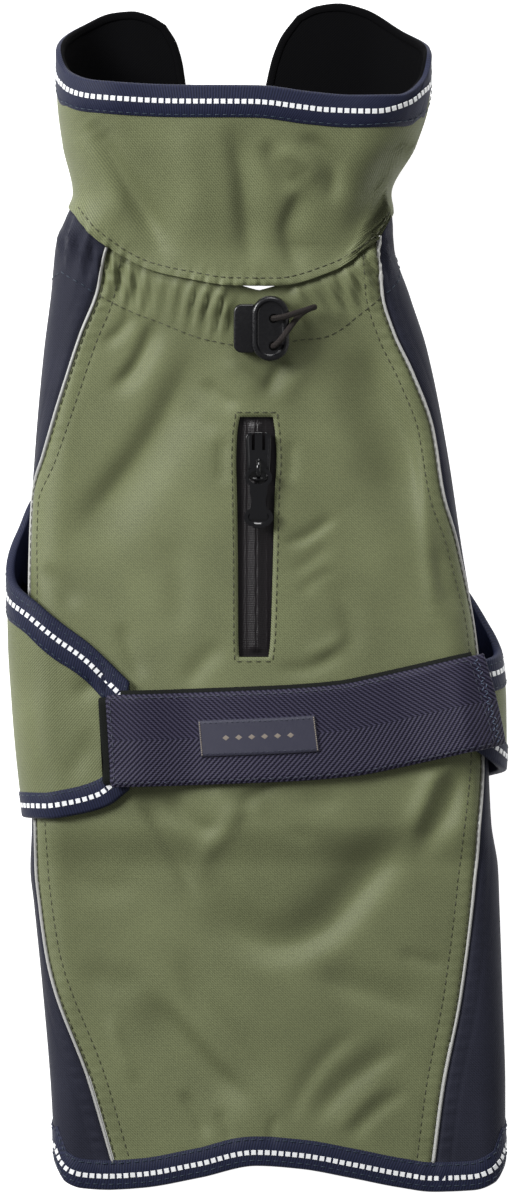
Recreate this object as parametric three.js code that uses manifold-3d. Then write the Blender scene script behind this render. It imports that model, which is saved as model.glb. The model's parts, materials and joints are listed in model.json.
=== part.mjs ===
// A dog's winter coat with a funnel collar, lying on its belly: panels, bindings, belt, zip, cord lock.
// Millimetres. +X is the coat's right, +Y runs from the hem to the neck, +Z is up off the surface.
import * as THREE from 'three';
import { mergeVertices } from 'three/addons/utils/BufferGeometryUtils.js';
import Module from 'manifold-3d';

const wasm = await Module();
wasm.setup();

// ---- Driving dimensions -------------------------------------------------------------------------

const SEAM_GAP = 0.3; // between neighbouring pieces
const SHELL = 1.6; // wall of the back and side panels
const COLLAR_SHELL = 1.2;
const LINING = 1.0;
const BELLY_SHELL = 1.4;
const LIFT = 3.6; // the body lies this high where the belly panel passes under it
const BAND_RISE = 3.4; // the wings lie this far above the body's back
const BINDING_PROUD = 0.4;
const HEM_BINDING = 12;
const COLLAR_BINDING = 13;
const FRONT_BINDING = 13;
const REAR_BINDING = 10.5;
const PIPING = 1.2;
const PIPING_PROUD = 0.3;
const PIPING_DEEP = 1.2; // how far the piping's cord goes down between the panels
const BELT_WIDTH = 37;
const BELT = 1.7;
const BACKING = 0.8;
const BACKING_SHOWS = 1.6; // the backing sticks out this far in front of the belt
const LOOP = 1.0;
const LABEL = { x: 0.6, length: 47, width: 14.5, thick: 0.6 };
const WINDOW = { x: 0, rear: 214.8, front: 310.8, width: 16.4 };
const ZIP_TAPE = { margin: 4.5, thick: 1.0, coil: 1.3, coilWidth: 2.6 };
const SLIDER = { x: 0.8, y: 295, width: 10.4, length: 19.4, thick: 2.6, clear: 0.6 };
const BAIL = { width: 1.8, thick: 1.1, height: 3.8, length: 8.4, back: 4.9 };
const PULL = { thick: 1.4, length: 23.2, width: 7.2, bar: 1.5, tip: 11.8, dip: 7.4, rim: 1.9 };
const PULL_RING = { width: 10.9, length: 8.4 };
const PULL_REST = THREE.MathUtils.degToRad(5); // the tab's end droops towards the tape
const LOCK = { x: 5.4, y: 346.4, width: 15, length: 26, thick: 9, edge: 1.6, seat: 1.1 };
const LOCK_TOP = { rim: 4.4, sunk: 0.8 }; // the oval face inside its raised rim
const LOCK_HOLE = { apart: 11, offset: 1.2, back: -1.4, radius: 1.7, mouth: 2.9, flare: 2.2, depth: 5 };
const PLUNGER = { width: 19.4, thick: 6, shows: 7.2, stem: 1.4, travel: 3, clearance: 0.25 };
const CORD = 2.4;
// The middle of the back's front edge dips here, where it isn't sewn to the collar.
const LEAD_SLOT = { x: 0.6, y: 364, reach: 9, dip: 2.6 };

// The tube of the body and collar, a row for each section across it.
// left, right: where its sides are. side: radius of its rounded sides. dome: rise of the back between
// them. lift: height of its flat underside.
const coatSections = [
  { y: 0, left: -80.8, right: 100.2, side: 10, dome: 3, lift: 0 },
  { y: 40, left: -82.7, right: 100.2, side: 11, dome: 4, lift: 0 },
  { y: 80, left: -86, right: 99, side: 12, dome: 5, lift: 0 },
  { y: 115, left: -89.5, right: 97.8, side: 13, dome: 5, lift: 0 },
  { y: 130, left: -91, right: 97.2, side: 13.5, dome: 5, lift: 0 },
  { y: 148, left: -90.3, right: 94.4, side: 14, dome: 5, lift: LIFT },
  { y: 180, left: -91.4, right: 92.8, side: 14, dome: 5, lift: LIFT },
  { y: 218, left: -92.4, right: 89, side: 14, dome: 5, lift: LIFT },
  { y: 258, left: -91.4, right: 82.6, side: 14, dome: 5, lift: LIFT },
  { y: 298, left: -89, right: 76.6, side: 14.5, dome: 5, lift: LIFT },
  { y: 338, left: -85.4, right: 68.6, side: 15, dome: 5, lift: LIFT },
  { y: 360, left: -82.6, right: 61.5, side: 16, dome: 5, lift: LIFT },
  { y: 380, left: -80.6, right: 55.2, side: 19.5, dome: 5, lift: 0 },
  { y: 400, left: -73.6, right: 54.2, side: 23, dome: 4, lift: 0 },
  { y: 420, left: -77.8, right: 64.2, side: 25.5, dome: 3, lift: 0 },
  { y: 440, left: -80, right: 69.6, side: 27, dome: 2.5, lift: 0 },
  { y: 480, left: -80.2, right: 70.2, side: 27.5, dome: 2.5, lift: 0 },
];

// The wider loop of the belly panel and its wings, outside the body. Its height follows the body's.
const bandSections = [
  { y: 120, left: -93.4, right: 98.4 },
  { y: 150, left: -93.9, right: 98.4 },
  { y: 163, left: -95.4, right: 99.6 },
  { y: 178, left: -97, right: 100.6 },
  { y: 198, left: -98.6, right: 101 },
  { y: 222, left: -100, right: 99.8 },
  { y: 245, left: -100.3, right: 95.4 },
  { y: 265, left: -99.6, right: 91 },
  { y: 285, left: -97.5, right: 87 },
  { y: 350, left: -90, right: 80 },
];

// Outlines. A point on the upper side has over, one on the underside has under: its x there.
const neckSeamRows = [
  { under: -18, y: 404 },
  { under: -58, y: 403 },
  { over: -71.5, y: 393 },
  { over: -61.4, y: 382 },
  { over: -41.4, y: 370.6 },
  { over: -26.2, y: 367 },
  { over: -9.4, y: 364.4 },
  { over: 7.4, y: 364.2 },
  { over: 30.2, y: 370.4 },
  { over: 45.8, y: 380.4 },
  { over: 53, y: 392 },
  { under: 42, y: 403 },
  { under: 24, y: 404 },
];
const rimRows = [
  { under: -37, y: 468 },
  { under: -43, y: 471.6 },
  { under: -50, y: 473.4 },
  { under: -58.6, y: 472.4 },
  { under: -70, y: 467.6 },
  { under: -80, y: 458 },
  { over: -76, y: 449 },
  { over: -64.2, y: 444.8 },
  { over: -29, y: 442.8 },
  { over: 0, y: 442.6 },
  { over: 22.6, y: 440 },
  { over: 38.2, y: 438.8 },
  { over: 57, y: 439.2 },
  { over: 67, y: 446 },
  { under: 69.8, y: 456.4 },
  { under: 59.4, y: 465.2 },
  { under: 43.4, y: 474.4 },
  { under: 33, y: 476.4 },
  { under: 24, y: 475.2 },
  { under: 17, y: 471.6 },
];
const hemRows = [
  { under: -75, y: 21 },
  { over: -80.4, y: 9.4 },
  { over: -76.6, y: 3.4 },
  { over: -70, y: 1.2 },
  { over: -60, y: 0.6 },
  { over: -46, y: 1.4 },
  { over: -22.6, y: 5.6 },
  { over: 0, y: 10.4 },
  { over: 17.4, y: 9.2 },
  { over: 37.4, y: 5.6 },
  { over: 57.4, y: 1.6 },
  { over: 71, y: -0.2 },
  { over: 87, y: 0.4 },
  { over: 96, y: 3.4 },
  { over: 99.6, y: 9.4 },
  { under: 94, y: 21 },
];
// Where the side panels end under the body, and the throat slit's edges in front of them.
const leftFreeRows = [
  { under: -75, y: 21 },
  { under: -68, y: 44 },
  { under: -61, y: 66 },
  { under: -50, y: 110 },
  { under: -50, y: 190 },
  { under: -62, y: 240 },
  { under: -74, y: 272 },
  { under: -78, y: 296 },
  { under: -75, y: 314 },
  { under: -64, y: 331 },
  { under: -46, y: 346 },
  { under: -28, y: 358 },
  { under: -17, y: 376 },
  { under: -17, y: 404 },
];
const rightFreeRows = [
  { under: 94, y: 21 },
  { under: 85, y: 44 },
  { under: 75, y: 66 },
  { under: 58, y: 110 },
  { under: 52, y: 190 },
  { under: 58, y: 240 },
  { under: 67, y: 272 },
  { under: 69, y: 296 },
  { under: 66, y: 314 },
  { under: 56, y: 331 },
  { under: 42, y: 346 },
  { under: 30, y: 358 },
  { under: 23, y: 376 },
  { under: 23, y: 404 },
];
const leftSlitRows = [
  { under: -17, y: 404 },
  { under: -28, y: 440 },
  { under: -29.4, y: 452 },
  { under: -32, y: 461 },
  { under: -37, y: 468 },
];
const rightSlitRows = [
  { under: 23, y: 404 },
  { under: 3, y: 440 },
  { under: 5.4, y: 453 },
  { under: 9.6, y: 463 },
  { under: 17, y: 471.6 },
];
const leftPipingRows = [
  { over: -57.8, y: 12 },
  { over: -67.4, y: 45 },
  { over: -85, y: 98 },
  { over: -88.4, y: 125 },
  { over: -89.9, y: 170 },
  { over: -91.4, y: 242 },
  { over: -90.2, y: 277.6 },
  { over: -85.8, y: 295.6 },
  { over: -78.6, y: 319.6 },
  { over: -70.6, y: 343.6 },
  { over: -64, y: 360 },
  { over: -59.4, y: 380.4 },
];
const rightPipingRows = [
  { over: 71, y: 11 },
  { over: 75, y: 42 },
  { over: 81.8, y: 77.6 },
  { over: 89, y: 139.6 },
  { over: 91, y: 172 },
  { over: 88.2, y: 221 },
  { over: 81, y: 259 },
  { over: 75.2, y: 280 },
  { over: 71, y: 305.6 },
  { over: 62.6, y: 328.8 },
  { over: 55, y: 344.8 },
  { over: 50.4, y: 360 },
  { over: 48.6, y: 383 },
];
// The belly panel's front edge: left wing, left leg, bib, right leg, right wing. Then its rear edge.
const bellyFrontRows = [
  { over: -51, y: 205 },
  { over: -66.2, y: 219.6 },
  { over: -77.4, y: 228 },
  { over: -89, y: 237.2 },
  { over: -98.8, y: 245.5 },
  { under: -96.6, y: 265.6 },
  { under: -89.8, y: 279.6 },
  { under: -72, y: 284 },
  { under: -55, y: 290 },
  { under: -42, y: 304 },
  { under: -34, y: 326 },
  { under: -27, y: 348 },
  { under: -14, y: 356 },
  { under: 18, y: 356 },
  { under: 31, y: 348 },
  { under: 38, y: 326 },
  { under: 45, y: 300 },
  { under: 57, y: 279 },
  { under: 72, y: 260 },
  { under: 85.4, y: 242 },
  { under: 94.4, y: 227 },
  { over: 99, y: 218 },
  { over: 86.4, y: 212.5 },
];
const bellyRearRows = [
  { over: -51, y: 161.5 },
  { over: -59.8, y: 155 },
  { over: -71.8, y: 151.6 },
  { over: -83.4, y: 150 },
  { under: -84, y: 150.6 },
  { under: 0, y: 152 },
  { under: 70, y: 158 },
  { under: 92, y: 166 },
  { over: 99, y: 170 },
  { over: 86.4, y: 178 },
];
const beltRows = [
  { over: -59, y: 181.2 },
  { over: -38, y: 181.6 },
  { over: -10, y: 182.6 },
  { over: 14, y: 183.6 },
  { over: 36, y: 185.4 },
  { over: 53, y: 188.6 },
  { over: 70, y: 192.4 },
  { over: 84, y: 195.6 },
  { over: 97.2, y: 198.6 },
];

// The largest folds: from one end to the other, depth below the cloth (or height over it), spread.
const folds = [
  { x: -59.8, y: 412.4, toX: -38, toY: 376, rise: -2.4, spread: 7 },
  { x: 34, y: 397, toX: 29, toY: 376, rise: -1.2, spread: 6 },
  { x: -43.8, y: 346, toX: -60, toY: 323, rise: -1.6, spread: 6 },
  { x: -27, y: 340, toX: -49, toY: 296, rise: -2.2, spread: 8 },
  { x: -49, y: 296, toX: -76, toY: 265, rise: -1.8, spread: 8 },
  { x: 35.4, y: 337, toX: 57, toY: 298, rise: -2, spread: 13 },
  { x: 66.2, y: 282, toX: 71, toY: 232, rise: -1.8, spread: 6 },
  { x: -42, y: 150, toX: -8, toY: 106, rise: -2, spread: 8 },
  { x: 72, y: 168, toX: 63, toY: 142, rise: 1.6, spread: 7 },
  { x: 56, y: 145, toX: 8, toY: 111, rise: -2.2, spread: 10 },
  { x: 30, y: 87, toX: 66, toY: 83, rise: -1.4, spread: 8 },
  { x: -47, y: 76, toX: -10, toY: 43, rise: -1.6, spread: 8 },
  { x: 41.4, y: 53, toX: 14, toY: 26, rise: 1.4, spread: 7 },
];
// Gathers along the drawcord's casing, behind the neck seam.
const GATHERS = { pitch: 11, rise: 0.7, back: 12, spread: 9 };
// Stretches of the back that stay smooth: under the belt and wings, round the zip and cord lock.
const smoothZones = [
  { x: 10, y: 187, reachX: 150, reachY: 24 },
  { x: -75, y: 205, reachX: 32, reachY: 44 },
  { x: 0, y: 263, reachX: 15, reachY: 54 },
  { x: 2, y: 348, reachX: 17, reachY: 19 },
];
const SMOOTH_EDGE = 8; // the folds fade out over this distance round a smooth stretch

const finish = {
  olive: { color: 0x76795c, roughness: 0.62, metalness: 0 },
  navy: { color: 0x353640, roughness: 0.65, metalness: 0 },
  binding: { color: 0x252840, roughness: 0.8, metalness: 0 },
  webbing: { color: 0x373446, roughness: 0.75, metalness: 0 },
  black: { color: 0x0c0c0c, roughness: 0.9, metalness: 0 },
  piping: { color: 0xa0a09b, roughness: 0.5, metalness: 0 },
  tape: { color: 0x2b292a, roughness: 0.45, metalness: 0 },
  plastic: { color: 0x19181a, roughness: 0.25, metalness: 0 },
  lacquer: { color: 0x19181a, roughness: 0.3, metalness: 0.6 },
  elastic: { color: 0x1d1716, roughness: 0.8, metalness: 0 },
};

// ---- Curves and surfaces ------------------------------------------------------------------------

const mix = (a, b, t) => a + (b - a) * t;
const smoothstep = (t) => {
  const s = Math.min(Math.max(t, 0), 1);
  return s * s * (3 - 2 * s);
};
const slopeOf = (curve, at) => curve(at + 0.5) - curve(at - 0.5);

// A smooth curve through rows that overshoots none of them: value of column `to` against `from`.
function curveThrough(rows, from, to) {
  const at = rows.map((row) => row[from]);
  const value = rows.map((row) => row[to]);
  const slopes = at.slice(1).map((a, i) => (value[i + 1] - value[i]) / (a - at[i]));
  const tangents = at.map((_, i) => {
    if (i === 0) return slopes[0];
    if (i === at.length - 1) return slopes[i - 1];
    const product = slopes[i - 1] * slopes[i];
    return product <= 0 ? 0 : (2 * product) / (slopes[i - 1] + slopes[i]);
  });
  return (x) => {
    if (x <= at[0]) return value[0] + tangents[0] * (x - at[0]);
    if (x >= at[at.length - 1]) return value.at(-1) + tangents.at(-1) * (x - at.at(-1));
    const i = at.findIndex((a) => a > x) - 1;
    const h = at[i + 1] - at[i];
    const t = (x - at[i]) / h;
    const bend = t * t * (3 - 2 * t);
    const start = tangents[i] * h * t * (1 - t) * (1 - t);
    const end = tangents[i + 1] * h * t * t * (t - 1);
    return mix(value[i], value[i + 1], bend) + start + end;
  };
}

// A flattened tube. A place on it is [round, y]: round is the way in mm round the section from the
// middle of the back, positive towards +X, and the middle of the belly is at half the girth.
class Tube {
  constructor(section, relief = () => 0) {
    this.section = section;
    this.relief = relief;
  }

  measures(y) {
    const { left, right, side, dome, lift } = this.section(y);
    const flat = (right - left) / 2 - side;
    return { centre: (left + right) / 2, flat, side, dome, lift, half: 2 * flat + Math.PI * side };
  }

  // The way round to the point with this x on the upper side, or on the underside.
  over(x, y) {
    const { centre, flat, side } = this.measures(y);
    const out = Math.abs(x - centre);
    const round = out <= flat ? out : flat + side * Math.asin(Math.min((out - flat) / side, 1));
    return Math.sign(x - centre) * round;
  }

  under(x, y) {
    const upper = this.over(x, y);
    return Math.sign(upper) * (this.measures(y).half - Math.abs(upper));
  }

  // Rows of an outline with the way round worked out, on this tube.
  rounds(rows) {
    return rows.map((row) => {
      const round = row.under === undefined ? this.over(row.over, row.y) : this.under(row.under, row.y);
      return { round, y: row.y };
    });
  }

  base(round, y) {
    const { centre, flat, side, dome, lift } = this.measures(y);
    const way = Math.abs(round);
    const hand = Math.sign(round) || 1;
    if (way <= flat) {
      const rise = (dome * (1 + Math.cos((Math.PI * way) / flat))) / 2;
      return new THREE.Vector3(centre + round, y, lift + 2 * side + rise);
    }
    const turn = (way - flat) / side;
    if (turn <= Math.PI) {
      const x = centre + hand * (flat + side * Math.sin(turn));
      return new THREE.Vector3(x, y, lift + side + side * Math.cos(turn));
    }
    return new THREE.Vector3(centre + hand * (2 * flat + Math.PI * side - way), y, lift);
  }

  normal(round, y) {
    const across = this.base(round + 0.5, y).sub(this.base(round - 0.5, y));
    const along = this.base(round, y + 0.5).sub(this.base(round, y - 0.5));
    return across.cross(along).normalize();
  }

  // The point `out` mm outside the cloth's outer face. Nothing goes below the surface it lies on.
  point(round, y, out) {
    const normal = this.normal(round, y);
    const base = this.base(round, y);
    const upper = Math.max(normal.z, 0);
    const rise = this.relief(base.x, y) * upper;
    const place = base.addScaledVector(normal, out + rise);
    place.z = Math.max(place.z, 0);
    return place;
  }
}

// The section at a y, from a table's rows.
function sectionCurves(rows, names) {
  const curves = names.map((name) => curveThrough(rows, 'y', name));
  return (y) => Object.fromEntries(names.map((name, i) => [name, curves[i](y)]));
}

function distanceToLine(x, y, fold) {
  const alongX = fold.toX - fold.x;
  const alongY = fold.toY - fold.y;
  const share = ((x - fold.x) * alongX + (y - fold.y) * alongY) / (alongX ** 2 + alongY ** 2);
  const t = Math.min(Math.max(share, 0), 1);
  return Math.hypot(x - fold.x - t * alongX, y - fold.y - t * alongY);
}

function smoothness(x, y) {
  const keeps = smoothZones.map((zone) => {
    const past = Math.max(Math.abs(x - zone.x) - zone.reachX, Math.abs(y - zone.y) - zone.reachY);
    return smoothstep(past / SMOOTH_EDGE + 1);
  });
  return Math.min(...keeps);
}

const coatSection = sectionCurves(coatSections, ['left', 'right', 'side', 'dome', 'lift']);
const plainCoat = new Tube(coatSection);
const neckSeam = curveThrough(plainCoat.rounds(neckSeamRows), 'round', 'y');

function coatRelief(x, y) {
  const sum = folds.reduce((total, fold) => {
    return total + fold.rise * Math.exp(-((distanceToLine(x, y, fold) / fold.spread) ** 2));
  }, 0);
  const behind = (neckSeam(plainCoat.over(x, y)) - y - GATHERS.back) / GATHERS.spread;
  const gather = GATHERS.rise * Math.sin((2 * Math.PI * x) / GATHERS.pitch) * Math.exp(-(behind ** 2));
  return (sum + gather) * smoothness(x, y);
}

const coat = new Tube(coatSection, coatRelief);
const bandSides = sectionCurves(bandSections, ['left', 'right']);
const band = new Tube((y) => {
  const { side, dome, lift } = coatSection(y);
  return { ...bandSides(y), side: side + (lift + BAND_RISE) / 2, dome, lift: 0 };
});

// The belly panel's places are measured from the middle of the belly, positive towards +X.
const belly = {
  fromBack: (round, y) => Math.sign(round) * (band.measures(y).half - Math.abs(round)),
  rounds: (rows) => band.rounds(rows).map(({ round, y }) => ({ round: belly.fromBack(round, y), y })),
  point: (round, y, out) => {
    const back = (round < 0 ? -1 : 1) * (band.measures(y).half - Math.abs(round));
    return band.point(back, y, out);
  },
};

// ---- Panels -------------------------------------------------------------------------------------

// The place at shares u (left to right) and v (rear to front) of a panel whose edges are curves:
// left and right give round at a y, rear and front give y at a round. inset holds its edges back.
// Each edge depends on the other coordinate, so the place is found by going to and fro.
const ROUNDS_TO_SETTLE = 24;
const SETTLING = 0.7; // share of the way that y moves in a round
function placeIn(edges, inset, u, alongShare) {
  const v = alongShare ** (edges.crowding ?? 1); // over 1, rows crowd towards the rear
  let y = edges.startY;
  let round = 0;
  for (let i = 0; i < ROUNDS_TO_SETTLE; i += 1) {
    const left = edges.left(y) + (inset.left ?? 0) * Math.hypot(1, slopeOf(edges.left, y));
    const right = edges.right(y) - (inset.right ?? 0) * Math.hypot(1, slopeOf(edges.right, y));
    round = mix(left, right, u);
    const rear = edges.rear(round) + (inset.rear ?? 0) * Math.hypot(1, slopeOf(edges.rear, round));
    const front = edges.front(round) - (inset.front ?? 0) * Math.hypot(1, slopeOf(edges.front, round));
    y = mix(y, mix(rear, front, v), SETTLING);
  }
  return [round, y];
}

// A closed wall over a grid of places, from `low` to `high` mm outside the surface.
function wall(surface, place, acrossCount, alongCount, high, low) {
  const points = [];
  const heights = [high, low].map((h) => (typeof h === 'function' ? h : () => h));
  heights.forEach((height) => {
    for (let j = 0; j <= alongCount; j += 1) {
      for (let i = 0; i <= acrossCount; i += 1) {
        const [round, y] = place(i / acrossCount, j / alongCount);
        points.push(surface.point(round, y, height(round, y)));
      }
    }
  });
  const row = acrossCount + 1;
  const layer = row * (alongCount + 1);
  const faces = [];
  const quad = (a, b, c, d) => {
    // Split along the shorter diagonal, so that slanting cells stay smooth.
    const straight = points[a].distanceTo(points[c]) <= points[b].distanceTo(points[d]);
    if (straight) faces.push(a, b, c, a, c, d);
    else faces.push(b, c, d, b, d, a);
  };
  for (let j = 0; j < alongCount; j += 1) {
    for (let i = 0; i < acrossCount; i += 1) {
      const a = j * row + i;
      quad(a, a + 1, a + row + 1, a + row);
      quad(layer + a, layer + a + row, layer + a + row + 1, layer + a + 1);
    }
  }
  const rim = [];
  for (let i = 0; i < acrossCount; i += 1) rim.push(i);
  for (let j = 0; j < alongCount; j += 1) rim.push(j * row + acrossCount);
  for (let i = acrossCount; i > 0; i -= 1) rim.push(alongCount * row + i);
  for (let j = alongCount; j > 0; j -= 1) rim.push(j * row);
  rim.forEach((a, i) => {
    const b = rim[(i + 1) % rim.length];
    // Both rims of a seam are split along the same diagonals, so that twisted ones stay clear.
    if (a < b) faces.push(a, layer + a, layer + b, a, layer + b, b);
    else faces.push(a, layer + a, b, b, layer + a, layer + b);
  });
  // A place function that runs the other way round would turn the wall inside out.
  const volume = faces.reduce((sum, _, i) => {
    if (i % 3) return sum;
    const [a, b, c] = [faces[i], faces[i + 1], faces[i + 2]].map((n) => points[n]);
    return sum + a.dot(b.clone().cross(c));
  }, 0);
  const outward = volume < 0 ? faces.toReversed() : faces;
  const geometry = new THREE.BufferGeometry();
  geometry.setAttribute('position', new THREE.Float32BufferAttribute(points.flatMap((p) => [...p]), 3));
  geometry.setIndex(outward);
  return geometry;
}

// Stations round a panel's edge. `bound` names the sides that a binding covers; from and to are the
// shares [u, v] where the leg starts and ends.
function leg(panel, bound, from, to, count, skipFirst = false) {
  const uncovered = Object.fromEntries(bound.map((side) => [side, 0]));
  const open = { ...panel.inset, ...uncovered };
  const shares = Array.from({ length: count + 1 }, (_, i) => i / count).slice(skipFirst ? 1 : 0);
  return shares.map((t) => {
    const u = mix(from[0], to[0], t);
    const v = mix(from[1], to[1], t);
    const [inner, outer] = [panel.inset, open].map((inset) => placeIn(panel.edges, inset, u, v));
    return { inner, outer };
  });
}

// A binding along stations: from the panels' true edge in to one seam gap short of their cloth.
function binding(surface, stations, high, low) {
  const inner = stations.map(({ inner: at }) => new THREE.Vector2(...at));
  const between = inner.slice(1).map((at, i) => at.clone().sub(inner[i]).normalize());
  const moved = stations.map(({ outer }, i) => {
    const before = between[Math.max(i - 1, 0)];
    const after = between[Math.min(i, between.length - 1)];
    const along = before.clone().add(after).normalize();
    const side = new THREE.Vector2(-along.y, along.x);
    const reach = SEAM_GAP / Math.max(along.dot(after), 0.5);
    const outward = Math.sign(side.dot(new THREE.Vector2(...outer).sub(inner[i])));
    return inner[i].clone().addScaledVector(side, outward * reach).toArray();
  });
  const last = stations.length - 1;
  const place = (u, v) => {
    const i = Math.round(u * last);
    return v === 0 ? stations[i].outer : moved[i];
  };
  return wall(surface, place, last, 1, high, low);
}

// ---- Solids -------------------------------------------------------------------------------------

function solidOf(geometry) {
  const bare = geometry.clone();
  bare.deleteAttribute('normal');
  bare.deleteAttribute('uv');
  const merged = mergeVertices(bare, 1e-4);
  return new wasm.Manifold(
    new wasm.Mesh({
      numProp: 3,
      vertProperties: new Float32Array(merged.attributes.position.array),
      triVerts: new Uint32Array(merged.index.array),
    }),
  );
}

function geometryOf(solid) {
  const mesh = solid.getMesh();
  const geometry = new THREE.BufferGeometry();
  geometry.setAttribute('position', new THREE.BufferAttribute(mesh.vertProperties, 3));
  geometry.setIndex(new THREE.BufferAttribute(mesh.triVerts, 1));
  return geometry;
}

const group = new THREE.Group();
function add(name, geometry, look, parent = group) {
  const plain = geometry.index ? geometry.toNonIndexed() : geometry;
  plain.computeVertexNormals();
  const mesh = new THREE.Mesh(plain, new THREE.MeshStandardMaterial(finish[look]));
  mesh.name = name;
  parent.add(mesh);
  return mesh;
}

// ---- Body: back and side panels, piping, hem binding ---------------------------------------------

const hem = curveThrough(coat.rounds(hemRows), 'round', 'y');
const lengthwise = (rows) => curveThrough(coat.rounds(rows), 'y', 'round');
const leftPiping = lengthwise(leftPipingRows);
const rightPiping = lengthwise(rightPipingRows);
const leftFree = lengthwise(leftFreeRows);
const rightFree = lengthwise(rightFreeRows);
const backFront = (round) => {
  const off = Math.abs(round - coat.over(LEAD_SLOT.x, LEAD_SLOT.y)) / LEAD_SLOT.reach;
  return neckSeam(round) - LEAD_SLOT.dip * Math.max(1 - off, 0);
};

const bodyEdges = { rear: hem, front: neckSeam, startY: 200, crowding: 1.3 };
const backEdges = { ...bodyEdges, left: leftPiping, right: rightPiping, front: backFront };
const leftEdges = { ...bodyEdges, left: leftFree, right: leftPiping };
const rightEdges = { ...bodyEdges, left: rightPiping, right: rightFree };

// Pieces that meet along an edge are divided alike there, so that their edges run side by side.
const BODY_ROWS = 34;
const BACK_COLUMNS = 15;
const SIDE_COLUMNS = 8;
const COLLAR_COLUMNS = 34;
const COLLAR_ROWS = 6;
const BELLY_COLUMNS = 46;
const BELLY_ROWS = 6;

const AT_NECK = 0.45; // the neck seam is curved both ways, so each side keeps more than half a gap
const AT_PIPING = PIPING / 2 + SEAM_GAP;
const AT_HEM = HEM_BINDING + SEAM_GAP;

const ends = { rear: AT_HEM, front: AT_NECK };
const back = { edges: backEdges, inset: { ...ends, left: AT_PIPING, right: AT_PIPING } };
const leftSide = { edges: leftEdges, inset: { ...ends, left: AT_HEM, right: AT_PIPING } };
const rightSide = { edges: rightEdges, inset: { ...ends, left: AT_PIPING, right: AT_HEM } };
const panelWall = (surface, panel, columnCount, rowCount, high, low) =>
  wall(surface, (u, v) => placeIn(panel.edges, panel.inset, u, v), columnCount, rowCount, high, low);

const backPanel = panelWall(coat, back, BACK_COLUMNS, BODY_ROWS, 0, -SHELL);
const DEEP = 40; // a cutter this deep goes through the back and stays above the belly
const windowBox = new THREE.BoxGeometry(WINDOW.width, WINDOW.front - WINDOW.rear, DEEP);
windowBox.translate(WINDOW.x, (WINDOW.rear + WINDOW.front) / 2, DEEP);
add('back_panel', geometryOf(solidOf(backPanel).subtract(solidOf(windowBox))), 'olive');

add('side_panel_left', panelWall(coat, leftSide, SIDE_COLUMNS, BODY_ROWS, 0, -SHELL), 'navy');
add('side_panel_right', panelWall(coat, rightSide, SIDE_COLUMNS, BODY_ROWS, 0, -SHELL), 'navy');

// The piping fills the way between two panels' edges, a seam gap from each.
function piping(leftPanel, rightPanel) {
  const place = (u, v) => {
    const [fromRound, fromY] = placeIn(leftPanel.edges, leftPanel.inset, 1, v);
    const [toRound, toY] = placeIn(rightPanel.edges, rightPanel.inset, 0, v);
    const share = (SEAM_GAP + u * PIPING) / (PIPING + 2 * SEAM_GAP);
    return [mix(fromRound, toRound, share), mix(fromY, toY, share)];
  };
  return wall(coat, place, 1, BODY_ROWS, PIPING_PROUD, -PIPING_DEEP);
}
add('piping_left', piping(leftSide, back), 'piping');
add('piping_right', piping(back, rightSide), 'piping');

const bindingLow = -SHELL - BINDING_PROUD;
const hemStations = [
  ...leg(leftSide, ['left', 'rear'], [0, 1], [0, 0], BODY_ROWS),
  ...leg(leftSide, ['left', 'rear'], [0, 0], [1, 0], SIDE_COLUMNS, true),
  ...leg(back, ['rear'], [0, 0], [1, 0], BACK_COLUMNS),
  ...leg(rightSide, ['right', 'rear'], [0, 0], [1, 0], SIDE_COLUMNS),
  ...leg(rightSide, ['right', 'rear'], [1, 0], [1, 1], BODY_ROWS, true),
];
add('hem_binding', binding(coat, hemStations, BINDING_PROUD, bindingLow), 'binding');

// ---- Collar ---------------------------------------------------------------------------------------

const rim = curveThrough(coat.rounds(rimRows), 'round', 'y');
const leftSlit = lengthwise(leftSlitRows);
const rightSlit = lengthwise(rightSlitRows);
const collarEdges = { left: leftSlit, right: rightSlit, rear: neckSeam, front: rim, startY: 430 };
const AT_RIM = COLLAR_BINDING + SEAM_GAP;
const rimInset = { left: AT_RIM, right: AT_RIM, front: AT_RIM };
const funnel = { edges: collarEdges, inset: { ...rimInset, rear: AT_NECK } };
const liningTop = -COLLAR_SHELL - SEAM_GAP;
const collarLow = liningTop - LINING - BINDING_PROUD;
add('collar', panelWall(coat, funnel, COLLAR_COLUMNS, COLLAR_ROWS, 0, -COLLAR_SHELL), 'olive');
const collarLining = panelWall(coat, funnel, COLLAR_COLUMNS, COLLAR_ROWS, liningTop, liningTop - LINING);
add('collar_lining', collarLining, 'black');
const rimSides = Object.keys(rimInset);
const rimStations = [
  ...leg(funnel, rimSides, [0, 0], [0, 1], COLLAR_ROWS),
  ...leg(funnel, rimSides, [0, 1], [1, 1], COLLAR_COLUMNS, true),
  ...leg(funnel, rimSides, [1, 1], [1, 0], COLLAR_ROWS, true),
];
add('collar_binding', binding(coat, rimStations, BINDING_PROUD, collarLow), 'binding');

// ---- Belly panel with its wings -------------------------------------------------------------------

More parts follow.
